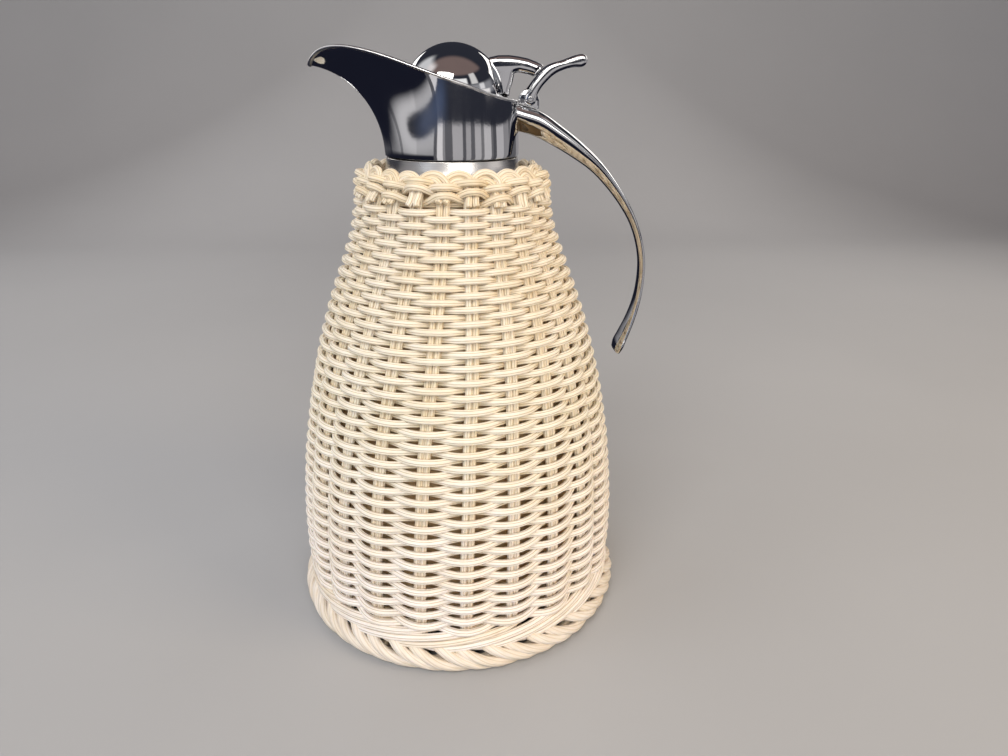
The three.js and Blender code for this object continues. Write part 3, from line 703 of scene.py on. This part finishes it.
for k in range(STAKES):
    for side, arch in ((-1.44, arch_outer), (1.44, arch_inner)):
        z = np.linspace(8.5, SPLIT_Z, 52)
        seed = 100 + 2 * k + (side > 0)
        tone = float(RNG.uniform(0.12, 0.5))
        r = core_r(z) + wander(z / 7.0, seed, 0.18)
        th = stake_angle(np.full(z.shape, float(k)), z) + (side + wander(z / 22.0, seed + 60, 0.16)) / r
        stake_low.add(polar(th, r, z), radial(th), 1.52, 0.85, roll=RNG.uniform(0, 6.28), tone=tone, ends=(True, False), row=60)
        z = np.linspace(SPLIT_Z, 197, 20)
        r = core_r(z) + wander(z / 7.0, seed, 0.18)
        x = np.full(z.shape, side) + wander(z / 22.0, seed + 60, 0.16)
        lead = np.stack([x, z, r], 1)
        a = arch.copy()
        a[0, 2] = core_r(np.array([198.0]))[0]
        spacing = float(stake_angle(np.array([k + 1.0]), 212.0)[0] - stake_angle(np.array([float(k)]), 212.0)[0]) * 41.5
        a[:, 0] = np.where(np.abs(a[:, 0]) <= 1.65, a[:, 0], a[:, 0] * (spacing / 11.34))
        drop = END_Z.get(signed(k), 210.6 + RNG.uniform(-0.8, 0.8)) - 210.6 + RNG.uniform(-0.35, 0.35)
        a[-1, 1] += drop
        a[-2, 1] += drop * 0.5
        a[-1, 0] += RNG.uniform(-0.7, 0.7)
        a[7:-5, 1] += RNG.uniform(-0.5, 0.4)
        a[7:-5, 0] += RNG.uniform(-0.4, 0.4)
        p = through(np.vstack([lead[:-1], a]), 104)
        th = stake_angle(np.full(len(p), float(k)), np.minimum(p[:, 1], 212.0)) + p[:, 0] / p[:, 2]
        dep = np.interp(np.arange(len(p)) / len(p), [0, 0.5, 0.62, 1], [0.85, 0.85, 1, 1])
        rad = np.interp(np.arange(len(p)) / len(p), [0, 0.45, 0.6, 1], [1.52, 1.50, 1.48, 1.46])
        stake_high[k % 2].add(polar(th, p[:, 2], p[:, 1]), radial(th), rad, dep, roll=RNG.uniform(0, 6.28), tone=tone, ends=(False, True), row=110)
ob = stake_low.build("stake_reeds")
paint(ob, REED)
finish_piece(ob, "carafe", "reed", "wicker_wall")
for i, reeds in enumerate(stake_high):
    ob = reeds.build("stake_arches_%d" % (i + 1))
    paint(ob, REED)
    finish_piece(ob, "carafe", "reed", "wicker_top_border")

# two rows woven through below the arches, in front of the reed ends
rows = Reeds()
U = np.array([-0.9, -0.7, -0.5, -0.25, 0.0, 0.25, 0.5, 0.7, 0.9])
UPPER = np.array([-2.4, -1.7, -0.9, -0.2, 0.0, -0.25, -1.2, -2.2, -3.2])
LOWER = np.array([-4.2, -3.3, -2.1, -0.5, 0.0, -0.55, -2.3, -3.5, -4.4])
BAND_Z = {-4: (220.8, 217.4), -3: (219.3, 215.1), -2: (221.2, 218.6), -1: (218.9, 215.7), 0: (220.5, 216.8), 1: (218.2, 214.0), 2: (219.9, 216.6),
          3: (218.4, 214.6)}
for k in range(STAKES):
    high, low = BAND_Z.get(signed(k), (220.6, 217.0) if signed(k) % 2 == 0 else (218.6, 214.9))
    for z0, drop in ((high, UPPER), (low, LOWER)):
        z0 = z0 + RNG.uniform(-0.15, 0.15)
        r0 = np.interp(z0, [213.5, 217, 221.5], [45.2, 44.3, 43.0])
        u = np.linspace(-0.9, 0.9, 31)
        z = z0 + spline(U, drop, u) + RNG.uniform(-0.5, 0.5) * u
        r = r0 - 2.8 * (1 - np.cos(1.16 * math.pi * u))
        th = stake_angle(k + 0.07 + u, 214.0)
        # the depth values paint shade towards both ends, where each row runs in behind the stakes
        rows.add(polar(th, r, z), radial(th), 1.60 - 0.06 * np.abs(u), np.clip(1.25 - 0.9 * np.abs(u), 0.4, 1.0), roll=RNG.uniform(0, 6.28), tone=RNG.uniform(0.05, 0.4), row=32)
ob = rows.build("top_rows")
paint(ob, REED)
finish_piece(ob, "carafe", "reed", "wicker_top_border")

# foot: two thick reeds to a stake, rolled over each other into a tight rope
foot = Reeds(lobes=7, groove=0.07, line=0.34)
FOOT_C = (81.0, 5.6)
FOOT_PATH = np.array([
    [-6.2, 77.2, 15.2], [-4.2, 78.4, 13.3], [-1.8, 79.9, 11.6], [1.2, 81.6, 10.0], [4.8, 83.0, 8.4], [8.9, 84.0, 6.9], [13.3, 84.3, 5.4], [18, 83.8, 4.0],
    [23, 82.6, 3.0], [28.5, 81.0, 2.65], [34, 79.6, 3.2], [40, 78.4, 4.6]])
for k in range(STAKES):
    for lead, tones in ((0.0, (0.55, 0.95)), (9.9, (0.25, 0.4))):
        p = FOOT_PATH + np.array([lead + RNG.uniform(-0.5, 0.5), RNG.uniform(-0.15, 0.1), 0.0])
        p[3:7, 2] += RNG.uniform(-0.3, 0.3)
        p = through(p, 44)
        th = stake_angle(np.array([k + 0.45]), 12.0)[0] + p[:, 0] / 82.3
        mid = np.stack([FOOT_C[0] * np.cos(th), FOOT_C[0] * np.sin(th), 0 * th + FOOT_C[1]], 1)
        P = polar(th, p[:, 1], np.maximum(p[:, 2], 2.62))
        out = P - mid
        out /= np.linalg.norm(out, axis=1)[:, None]
        # painted shade along each foot reed, darkest at its ends where it runs in under its neighbours
        dep = np.interp(np.arange(44) / 43, [0, 0.08, 0.2, 0.36, 0.6, 1], [0.3, 0.45, 0.68, 0.6, 0.5, 0.3])
        foot.add(P, out, 2.44 * (1 + wander(p[:, 0] / 9.0, 700 + 2 * k + (lead > 0), 0.03)), dep, roll=RNG.uniform(0, 6.28), tone=RNG.uniform(*tones), row=46)
ob = foot.build("foot_rope")
paint(ob, REED)
finish_piece(ob, "carafe", "reed", "wicker_foot_border")


# ------------------------------------------------------------------ pouring head
def rim_at(deg):
    d = np.mod(np.asarray(deg, float), 360.0)
    side = np.where(d > 180, -1.0, 1.0)
    d = np.where(d > 180, 360 - d, d)
    full = np.vstack([RIM[1:][::-1] * np.array([-1, 1, -1, 1]), RIM, (RIM[:-1][::-1] * np.array([-1, 1, -1, 1])) + np.array([360, 0, 0, 0])])
    v = spline(full[:, 0], full[:, 1:], np.ravel(d)).reshape(d.shape + (3,))
    return v[..., 0], side * v[..., 1], v[..., 2]


def head_lines(deg, inset, z0, t):
    a = np.radians(deg)
    qx, qy, qz = rim_at(deg)
    ax, ay, _ = rim_at(deg - 1.0)
    bx, by, _ = rim_at(deg + 1.0)
    nx, ny = by - ay, -(bx - ax)
    l = np.hypot(nx, ny)
    nx, ny = nx / l, ny / l
    d = np.where(deg > 180, 360 - deg, deg)
    s = smoothstep((d - 95) / 85)
    foot_p = np.stack([(HEAD_R0 - inset) * np.cos(a), (HEAD_R0 - inset) * np.sin(a), 0 * a + z0], -1)
    rim = np.stack([qx - nx * inset, qy - ny * inset, qz], -1)
    h = qz - z0
    c1 = foot_p + np.stack([0 * h, 0 * h, h * (0.36 + 0.1 * s)], -1)
    k = -19.5 * s + 0.4 * (1 - s)
    c2 = rim + np.stack([nx * k, ny * k, -(h * 0.33) * (1 - s) - (2.6 + inset * 0.2) * s], -1)
    t = t[None, :, None]
    line = (foot_p[:, None] * (1 - t) ** 3 + 3 * c1[:, None] * t * (1 - t) ** 2 + 3 * c2[:, None] * t * t * (1 - t) + rim[:, None] * t ** 3)
    return line, np.stack([nx, ny, 0 * nx], -1)


deg = np.concatenate([np.arange(0, 120, 3.0), np.arange(120, 240, 1.5), np.arange(240, 360, 3.0)])
t_out = np.linspace(0, 1, 34)
outer, normal = head_lines(deg, 0.0, HEAD_Z0, t_out)
inner, _ = head_lines(deg, HEAD_T, 231.4, np.linspace(0, 1, 26))
a = np.radians(deg)
def circle(r, z):
    return np.stack([r * np.cos(a), r * np.sin(a), 0 * a + z], -1)[:, None]
rim_mid = 0.5 * (outer[:, -1] + inner[:, -1])
half = 0.5 * (outer[:, -1] - inner[:, -1])
bead = []
for w in np.linspace(0, math.pi, 9)[1:-1]:
    bead.append((rim_mid + half * (math.cos(w) * (1 + 0.25 * math.sin(w) ** 0.5)) + np.array([0, 0, 0.6]) * math.sin(w))[:, None])
loops = np.concatenate([circle(HEAD_R0 - 0.45, HEAD_Z0), circle(HEAD_R0 - 0.12, HEAD_Z0 + 0.08), outer[:, 1:], *bead, inner[:, ::-1],
                        circle(26.4, 231.4), circle(26.4, 229.2), circle(HEAD_R0 - HEAD_T, 229.2), circle(HEAD_R0 - HEAD_T, HEAD_Z0)], 1)
n, m = loops.shape[:2]
faces = [(i * m + j, ((i + 1) % n) * m + j, ((i + 1) % n) * m + (j + 1) % m, i * m + (j + 1) % m) for i in range(n) for j in range(m)]
head = make_mesh("head_shell", loops.reshape(-1, 3), faces)
outward(head)
head.data.polygons.foreach_set("use_smooth", np.ones(len(head.data.polygons), bool))
head.data.set_sharp_from_angle(angle=math.radians(50))
paint(head, CHROME)
finish_piece(head, "carafe", "chrome", "pouring_head")

# rolled edge of the rim, in a lighter, rougher metal than the head: painted highlight along the rim
t = np.arange(14) * 2 * math.pi / 14
wide = half / np.linalg.norm(half, axis=1)[:, None]
bead_v = rim_mid[:, None] + (0.98 * np.cos(t))[None, :, None] * wide[:, None] + np.array([0, 0, 0.72]) * np.sin(t)[None, :, None] + np.array([0, 0, 0.05])
n, m = bead_v.shape[:2]
faces = [(i * m + j, ((i + 1) % n) * m + j, ((i + 1) % n) * m + (j + 1) % m, i * m + (j + 1) % m) for i in range(n) for j in range(m)]
lip = make_mesh("rim_edge", bead_v.reshape(-1, 3), faces)
outward(lip)
lip.data.polygons.foreach_set("use_smooth", np.ones(len(lip.data.polygons), bool))
paint(lip, RIM_HIGHLIGHT)
finish_piece(lip, "carafe", "chrome", "pouring_head")

# ------------------------------------------------------------------ handle
SECTION = [[0.0, 0.5], [0.14, 0.498], [0.26, 0.475], [0.37, 0.415], [0.452, 0.315], [0.494, 0.2], [0.498, 0.1], [0.47, -0.02], [0.41, -0.15],
           [0.325, -0.28], [0.22, -0.39], [0.11, -0.47], [0.0, -0.5]]
SECTION_TIP = [[0.0, 0.5], [0.16, 0.5], [0.28, 0.48], [0.38, 0.42], [0.452, 0.3], [0.492, 0.14], [0.5, -0.02], [0.485, -0.16], [0.445, -0.28],
               [0.38, -0.37], [0.29, -0.44], [0.15, -0.49], [0.0, -0.5]]
sec = np.array(SECTION + [[-b, c] for b, c in SECTION[-2:0:-1]])
sec_tip = np.array(SECTION_TIP + [[-b, c] for b, c in SECTION_TIP[-2:0:-1]])
arc_len = np.concatenate([[0], np.cumsum(np.linalg.norm(np.diff((HANDLE[:, 0:2] + HANDLE[:, 2:4]) / 2, axis=0), axis=1))])


def handle_ring(u):
    h = spline(arc_len, HANDLE, np.atleast_1d(u))
    mid, d = (h[:, 0:2] + h[:, 2:4]) / 2, (h[:, 0:2] - h[:, 2:4])
    w = smoothstep((np.atleast_1d(u) / arc_len[-1] - 0.5) / 0.4)[:, None]
    wide, deep = sec[None, :, 0] * (1 - w) + sec_tip[None, :, 0] * w, sec[None, :, 1] * (1 - w) + sec_tip[None, :, 1] * w
    x = mid[:, None, 0] + d[:, None, 0] * deep
    z = mid[:, None, 1] + d[:, None, 1] * deep
    y = h[:, None, 4] * wide
    return np.stack([x, y, z], -1)


fine_u = np.linspace(0, 26, 400)
lines = handle_ring(fine_u)
wall = np.hypot(lines[..., 0], lines[..., 1]) - np.interp(lines[..., 2], [228, 240, 251], [29.9, 29.75, 29.0])
start = np.array([fine_u[np.argmax(wall[:, j] > 0)] for j in range(len(sec))])
rings = []
count = 110
tt = np.linspace(0, 1, count)
total = arc_len[-1]
for t in tt:
    u = start + (total - start) * t
    rings.append(np.stack([handle_ring(u[j])[0, j] for j in range(len(sec))]))
tip = rings[-1]
mid = tip.mean(0)
dirn = mid - rings[-3].mean(0)
dirn /= np.linalg.norm(dirn)
for w in (0.25, 0.5, 0.75, 0.93):
    c = math.cos(w * math.pi / 2)
    rings.append(mid + (tip - mid) * c + dirn * 0.9 * math.sin(w * math.pi / 2))
rings = np.array(rings)
n, m = rings.shape[:2]
faces = [(i * m + j, i * m + (j + 1) % m, (i + 1) * m + (j + 1) % m, (i + 1) * m + j) for i in range(n - 1) for j in range(m)]
faces += [tuple(range(m)), tuple((n - 1) * m + j for j in range(m))]
handle = make_mesh("handle_horn", rings.reshape(-1, 3), faces)
outward(handle)
handle.data.polygons.foreach_set("use_smooth", np.ones(len(handle.data.polygons), bool))
handle.data.set_sharp_from_angle(angle=math.radians(55))
paint(handle, CHROME)
finish_piece(handle, "carafe", "chrome", "handle")

# ------------------------------------------------------------------ hinge block, bridge and lever
block_side = [[30.5, 250.25], [39.6, 247.42], [39.5, 251.4], [38.6, 253.9], [36.6, 255.8], [33.2, 256.0], [31.2, 253.9], [30.5, 252.4]]
cheeks = []
for y0, y1 in ((-3.2, -1.6), (1.6, 3.2)):
    cheeks.append(rounded_plate("cheek", fillet(block_side, 1.6, closed=True), y0, y1, 0.35, detail=0, resolution=3))
web = rounded_plate("web", fillet([[30.5, 250.25], [39.6, 247.42], [39.6, 248.5], [37.0, 249.2], [33.2, 249.85], [30.9, 251.0]], 0.3, closed=True), -1.7, 1.7, 0.05, detail=0, resolution=1)
block = join_objects(cheeks[0], cheeks[1], web)
block.name = block.data.name = "hinge_lug"
paint(block, CHROME)
finish_piece(block, "carafe", "chrome", "hinge_block")

bridge_side = [
    [12.0, 266.0], [17.2, 268.9], [21.0, 269.7], [25.6, 269.8], [30.0, 269.3], [34.2, 268.5], [38.2, 267.1], [41.6, 265.7],
    [37.4, 261.2], [33.3, 262.3], [30.0, 262.9, 0.8], [28.2, 262.5, 0.8], [27.3, 258.4], [26.3, 255.7], [26.0, 252.6], [22.0, 252.6]]
bridge = rounded_plate("bridge_bar", fillet(bridge_side, 1.4, closed=True), -4.5, 4.5, 2.3, detail=0, resolution=9)
paint(bridge, CHROME)
finish_piece(bridge, "lid", "chrome", "lid_bridge")

lever_side = [
    [32.6, 250.6], [32.5, 252.0], [32.9, 253.6], [34.9, 256.9], [38.4, 261.3], [42.6, 265.5], [45.6, 266.9], [50.0, 268.1], [54.2, 269.6],
    [57.2, 270.4], [59.3, 269.8], [60.1, 268.0], [59.5, 266.2], [57.6, 265.2], [54.6, 265.1], [50.6, 264.3], [45.8, 262.2], [42.3, 259.2],
    [39.4, 255.7], [37.9, 252.6], [37.5, 250.6], [36.4, 249.4], [35.1, 249.1], [33.7, 249.5]]
lever = rounded_plate("lever_plate", lever_side, -6.0, 6.0, 1.4, detail=5, resolution=7)
carve(lever, cylinder_y("slot", PIN[0], PIN[1], 5.7, -3.5, 3.5))
carve(lever, cylinder_y("bore", PIN[0], PIN[1], 1.26, -8, 8, 40))
paint(lever, CHROME)
finish_piece(lever, "lid", "chrome", "thumb_lever")

pin = lathe("pin_rod", fillet([[0, -5.95], [1.2, -5.95, 0.35], [1.2, 5.95, 0.35], [0, 5.95]], 0.3), 40, closed=False)
pin.data.transform(Matrix.Translation((PIN[0] * MM, 0, PIN[1] * MM)) @ Matrix.Rotation(math.radians(90), 4, "X"))
paint(pin, CHROME)
finish_piece(pin, "carafe", "fixings", "hinge_pin")

# ------------------------------------------------------------------ turned pieces
dome_arc = [[DOME_R * math.cos(t), DOME_Z + DOME_R * math.sin(t)] for t in np.linspace(0, math.pi / 2, 40)]
dome_in = [[(DOME_R - DOME_T) * math.cos(t), DOME_Z + (DOME_R - DOME_T) * math.sin(t)] for t in np.linspace(math.pi / 2, 0, 24)]
dome_arc[-1][0] = dome_in[0][0] = 0.0
dome = lathe("dome_cap", [[DOME_R - DOME_T, 246.6], [DOME_R - 0.4, 246.6], [DOME_R - 0.1, 246.75], [DOME_R, 247.1]] + dome_arc + dome_in, 144, closed=True, shift=LID_X, sharp=50)
paint(dome, CHROME)
finish_piece(dome, "lid", "chrome", "lid_dome")

collar = lathe("neck_collar", fillet([
    [32.45, 219.4, 0.1], [31.4, 221.4], [30.4, 224.6], [30.0, 227.3, 0.3], [26.0, 227.3, 0.3], [26.0, 236.9, 0.2],
    [25.2, 236.9, 0.2], [25.2, 226.5], [29.6, 224.3], [30.6, 221.1], [31.6, 219.3, 0.1]], 2.5, closed=True), 160)
paint(collar, COLLAR)
finish_piece(collar, "carafe", "flask_steel", "shell_neck")
skirt = lathe("neck_skirt", fillet([
    [37.25, 208.3, 0.1], [35.9, 213.0], [33.4, 217.6], [32.45, 219.4, 0.1], [31.6, 219.3, 0.1], [32.6, 217.3], [35.1, 212.7], [36.45, 208.3, 0.1]], 2.5, closed=True), 160)
# the skirt below the loops gets the brown painted shade
paint(skirt, PAINTED_GAP_SHADE)
finish_piece(skirt, "carafe", "flask_steel", "shell_neck")

liner = lathe("liner_tube", fillet([
    [24.1, 213.3, 0.1], [22.8, 220], [22.8, 237.2, 0.3], [26.0, 237.2, 0.3], [26.0, 238.4, 0.5], [22.0, 238.4, 0.6], [22.0, 220], [23.3, 213.3, 0.1]], 2.0, closed=True), 128)
paint(liner, LINER)
finish_piece(liner, "carafe", "flask_steel", "liner_neck")

gasket = lathe("gasket_ring", fillet([[26.4, 227.7], [28.7, 227.7], [28.7, 228.8], [26.4, 228.8]], 0.3, closed=True), 96)
paint(gasket, SILICONE)
finish_piece(gasket, "carafe", "silicone", "neck_gasket")

clamp = lathe("clamp_ring", fillet([[26.4, 231.8], [28.2, 231.8], [28.2, 234.6], [27.6, 236.2], [26.4, 236.2]], 0.4, closed=True), 96)
paint(clamp, PLASTIC)
finish_piece(clamp, "carafe", "dark_plastic", "neck_ring")

plug = lathe("plug_body", fillet([
    [1.8, 240.2, 0.1], [1.8, 246.3, 0.1], [23.2, 246.3], [23.9, 245.6], [23.9, 242.2, 0.3], [19.5, 242.2, 0.3], [19.5, 238.0, 0.8], [17.6, 232.0, 1.2],
    [13.0, 232.0, 0.5], [12.2, 232.7, 0.5], [8.2, 232.7, 0.5], [7.4, 232.0, 0.5], [3.8, 232.0, 0.5], [3.8, 240.2, 0.2]], 0.5, closed=True), 112, shift=LID_X)
paint(plug, PLASTIC)
finish_piece(plug, "lid", "dark_plastic", "lid_plug")

seal = lathe("seal_ring", fillet([[19.8, 238.8, 0.3], [22.6, 238.8, 0.6], [24.0, 239.1, 0.6], [24.4, 240.2, 0.5], [23.8, 241.9, 0.4], [19.8, 241.9, 0.3]], 0.4, closed=True), 112, shift=LID_X)
paint(seal, SILICONE)
finish_piece(seal, "lid", "silicone", "lid_seal")

screw = lathe("plug_screw", fillet([[0, 238.3], [1.0, 238.3, 0.1], [1.3, 237.2, 0.2], [3.1, 237.2, 0.4], [3.4, 237.8, 0.3], [3.4, 239.9, 0.2], [1.4, 239.9, 0.1],
                                    [1.4, 258.0, 0.2], [0, 258.6]], 0.2), 48, closed=False, shift=LID_X)
paint(screw, FIXING)
finish_piece(screw, "lid", "fixings", "lid_screw")

cap = lathe("base_dish", fillet([
    [0, 2.3], [20, 2.3, 0.4], [20.6, 2.8, 0.3], [24.4, 2.8, 0.3], [25, 2.3, 0.4], [58, 2.3, 0.4], [58.6, 2.9, 0.3], [63.4, 2.9, 0.3], [64, 2.3, 0.4], [69.5, 2.3, 1.5], [71.8, 4.2, 1.5],
    [72.2, 6], [72.2, 14.2, 0.4], [70.9, 14.2, 0.4], [70.9, 5.6], [69.6, 4.6], [0, 4.6]], 0.6), 144, closed=False)
paint(cap, PLASTIC)
finish_piece(cap, "carafe", "dark_plastic", "base_cap")

ribs = [[0, 0.35]]
for r in np.arange(6.0, 54.0, 4.0):
    ribs += [[r - 0.5, 0.35, 0.15], [r, 0.0, 0.2], [r + 1.2, 0.0, 0.2], [r + 1.7, 0.35, 0.15]]
pad = lathe("pad_disc", fillet(ribs + [[55, 0.0, 0.5], [56, 0.8, 0.4], [56, 2.0, 0.2], [0, 2.0]], 0.3, steps=3), 128, closed=False)
paint(pad, SILICONE)
finish_piece(pad, "carafe", "silicone", "base_pad")

# CAD pieces that stay as they are
# outer_shell gets the brown painted shade seen through the weave gaps
for name, mat in (("inner_bottle", LINER), ("bottle_bottom", LINER), ("liner_shoulder", LINER), ("outer_shell", PAINTED_GAP_SHADE), ("shell_bottom", LINER),
                  ("handle_screw_upper", FIXING), ("handle_screw_lower", FIXING), ("return_spring", FIXING)):
    o = NODES[name]
    o.data.materials.clear()
    o.data.materials.append(mat)

# ------------------------------------------------------------------ stage, light and camera
def stage_material():
    m, nt, bsdf = new_material("pale_stage")
    pos = nt.nodes.new("ShaderNodeTexCoord")
    cloud = node(nt, "ShaderNodeTexNoise", Scale=3.0, Detail=4.0)
    nt.links.new(pos.outputs["Object"], cloud.inputs["Vector"])
    tone = ramp(nt, [(0.3, (0.38, 0.385, 0.40)), (0.7, (0.40, 0.405, 0.42))])
    nt.links.new(cloud.outputs["Fac"], tone.inputs[0])
    nt.links.new(tone.outputs[0], bsdf.inputs["Base Color"])
    bsdf.inputs["Roughness"].default_value = 0.65
    return m


prof = [(-0.1, 0.0), (0.9, 0.0)] + [(0.9 + 0.6 * math.sin(t), 0.6 - 0.6 * math.cos(t)) for t in np.linspace(0.08, math.pi / 2, 16)] + [(1.5, 1.9)]
verts, faces = [(-2.2, -2.2, 0.0), (2.2, -2.2, 0.0), (2.2, -0.1, 0.0), (-2.2, -0.1, 0.0)], [(0, 1, 2, 3)]
for i, (y, z) in enumerate(prof):
    verts += [(-6.0, y, z), (6.0, y, z)]
    if i:
        faces.append((2 * i + 2, 2 * i + 3, 2 * i + 5, 2 * i + 4))
me = bpy.data.meshes.new("stage_floor")
me.from_pydata(verts, [], faces)
me.polygons.foreach_set("use_smooth", np.ones(len(me.polygons), bool))
floor = bpy.data.objects.new("stage_floor", me)
bpy.context.collection.objects.link(floor)
paint(floor, stage_material())
floor.visible_glossy = False

# surroundings for the reflections: dark, with a soft top, bright fields above the front and a low band of pale and dark strips
world = bpy.data.worlds.new("studio")
world.use_nodes = True
wt = world.node_tree
bg = wt.nodes["Background"]
ray = wt.nodes.new("ShaderNodeTexCoord")
axes = wt.nodes.new("ShaderNodeSeparateXYZ")
wt.links.new(ray.outputs["Generated"], axes.inputs[0])
back = node(wt, "ShaderNodeMath", operation="MULTIPLY")
wt.links.new(axes.outputs["Y"], back.inputs[0])
back.inputs[1].default_value = -1.0
round_ = node(wt, "ShaderNodeMath", operation="ARCTAN2")
wt.links.new(axes.outputs["X"], round_.inputs[0])
wt.links.new(back.outputs[0], round_.inputs[1])
turn_at = span(wt, round_.outputs[0], -math.pi, math.pi, 0.0, 1.0)


def stops(table, colour=(1, 1, 1)):
    return [((a + 180) / 360, tuple(v * c for c in colour)) for a, v in table]


def between(source, a, b, c, d):
    up = node(wt, "ShaderNodeMapRange", interpolation_type="SMOOTHSTEP")
    down = node(wt, "ShaderNodeMapRange", interpolation_type="SMOOTHSTEP")
    for n, lo, hi, p, q in ((up, a, b, 0.0, 1.0), (down, c, d, 1.0, 0.0)):
        for key, v in zip(("From Min", "From Max", "To Min", "To Max"), (lo, hi, p, q)):
            n.inputs[key].default_value = v
        wt.links.new(source, n.inputs["Value"])
    both = node(wt, "ShaderNodeMath", operation="MULTIPLY")
    wt.links.new(up.outputs[0], both.inputs[0])
    wt.links.new(down.outputs[0], both.inputs[1])
    return both.outputs[0]


def patch_light(colour, mask):
    return mix_color(wt, "MIX", mask, (0.0, 0.0, 0.0), colour)


height = axes.outputs["Z"]
low = ramp(wt, stops([(-180, 0.0), (-33, 0.10), (-28, 0.8), (-18, 0.3), (-13, 0.12), (0, 0.48), (16, 0.10), (22, 0.42), (30, 0.12), (37, 0.5), (49, 0.2), (54, 0.6), (68, 0.16),
                      (73, 0.08), (80, 0.55), (97, 0.3), (112, 0.12), (140, 0.3)], (1.0, 0.95, 0.94)))
left = ramp(wt, stops([(-180, 0.25), (-150, 0.35), (-128, 0.2), (-122, 0.6), (-96, 0.3), (-91, 0.62), (-62, 0.5), (-33, 0.0)], (1.0, 0.965, 0.955)))
for strip in (low, left):
    strip.color_ramp.interpolation = "CONSTANT"
    wt.links.new(turn_at, strip.inputs[0])
layers = [
    mix_color(wt, "MIX", between(height, -0.36, -0.30, 0.010, 0.020), (0.0, 0.0, 0.0), low.outputs[0]),
    mix_color(wt, "MIX", between(height, -0.145, -0.015, 0.0, 0.012), (0.0, 0.0, 0.0), left.outputs[0]),
]


def blob(az0, az1, el0, el1, colour, soft_az=8.0, soft_el=0.03):
    a = between(round_.outputs[0], math.radians(az0 - soft_az), math.radians(az0 + soft_az), math.radians(az1 - soft_az), math.radians(az1 + soft_az))
    e = between(height, el0 - soft_el, el0 + soft_el, el1 - soft_el, el1 + soft_el)
    both = node(wt, "ShaderNodeMath", operation="MULTIPLY")
    wt.links.new(a, both.inputs[0])
    wt.links.new(e, both.inputs[1])
    return patch_light(colour, both.outputs[0])


layers += [
    blob(-58, -14, 0.03, 0.22, (0.085, 0.125, 0.23), 14.0, 0.05),
    blob(-130, -70, 0.45, 0.85, (0.75, 0.74, 0.73), 10.0, 0.06),
    blob(-40, -22, 0.44, 0.72, (0.75, 0.74, 0.73), 3.0, 0.02),
    blob(-12, 34, 0.44, 0.62, (1.10, 1.08, 1.05), 3.0, 0.02),
    blob(44, 62, 0.44, 0.72, (0.80, 0.77, 0.73), 3.0, 0.02),
    blob(62, 92, 0.08, 0.24, (0.75, 0.70, 0.66), 4.0, 0.02),
    blob(-100, 105, 0.15, 0.42, (0.30, 0.295, 0.30), 12.0, 0.05),
    blob(-54, -36, 0.17, 0.42, (0.62, 0.68, 0.75), 4.0, 0.03),
    blob(64, 78, 0.26, 0.42, (0.60, 0.58, 0.56), 3.0, 0.03),
    mix_color(wt, "MIX", between(axes.outputs["Y"], -2.0, -1.5, -0.05, 0.18), (0.0, 0.0, 0.0), blob(-400, 400, 0.72, 1.3, (0.190, 0.125, 0.100), 10.0, 0.04)),
]
total_light = layers[0]
for extra in layers[1:]:
    total_light = mix_color(wt, "ADD", 1.0, total_light, extra)
total_light = mix_color(wt, "ADD", 1.0, total_light, mix_color(wt, "MIX", between(height, -0.2, 0.1, 2.0, 3.0), (0.011, 0.012, 0.022), (0.030, 0.032, 0.044)))
kind = wt.nodes.new("ShaderNodeLightPath")
total_light = mix_color(wt, "MIX", kind.outputs["Is Camera Ray"], total_light, (0.15, 0.152, 0.158))
wt.links.new(total_light, bg.inputs["Color"])
bg.inputs["Strength"].default_value = 1.0
bpy.context.scene.world = world
bpy.context.scene.view_settings.view_transform = "Standard"


def area(name, az, el, far, size, power, color, shine=True):
    """Soft box at plan angle az from the camera side and elevation el, aimed at the middle of the piece."""
    l = bpy.data.lights.new(name, "AREA")
    l.shape = "RECTANGLE"
    l.size, l.size_y = size
    l.energy = power
    l.color = color
    o = bpy.data.objects.new(name, l)
    t, e = math.radians(CAM_DIR + az), math.radians(el)
    o.location = (far * math.cos(e) * math.cos(t), far * math.cos(e) * math.sin(t), 0.13 + far * math.sin(e))
    o.rotation_euler = (Vector((0, 0, 0.13)) - o.location).to_track_quat("-Z", "Y").to_euler()
    o.visible_camera = False
    o.visible_glossy = shine
    bpy.context.collection.objects.link(o)


area("key", -24, 45, 1.45, (0.8, 0.5), 9.4, (1.0, 0.965, 0.91))
area("front_fill", 14, 22, 1.4, (0.8, 0.5), 5.15, (1.0, 0.955, 0.90))
area("low_fill", -8, 11, 1.2, (0.9, 0.2), 2.0, (0.78, 0.88, 1.0), False)
area("warm_side", 62, 24, 1.3, (0.6, 0.6), 7.0, (1.0, 0.77, 0.48), False)
area("cool_side", -72, 22, 1.3, (0.6, 0.6), 2.7, (0.93, 0.96, 1.0), False)
area("top", 180, 84, 1.3, (0.7, 0.5), 1.8, (1.0, 0.97, 0.93), False)
area("back_left", -142, 22, 1.3, (0.9, 0.4), 2.6, (1.0, 0.975, 0.94))
area("back_right", 136, 26, 1.3, (0.9, 0.5), 3.4, (1.0, 0.95, 0.88))

cam_data = bpy.data.cameras.new("camera")
cam_data.sensor_fit = "HORIZONTAL"
cam_data.sensor_width = 36.0
cam_data.lens = 24.964
cam_data.clip_start = 0.01
cam = bpy.data.objects.new("camera", cam_data)
turn = Matrix.Rotation(math.radians(-5.0), 4, "Z") @ Matrix.Rotation(math.radians(90 - 22.49), 4, "X") @ Matrix.Rotation(math.radians(0.33), 4, "Z")
cam.matrix_world = Matrix.Translation((-0.00507, -0.33794, 0.2562)) @ turn
bpy.context.collection.objects.link(cam)
bpy.context.scene.camera = cam
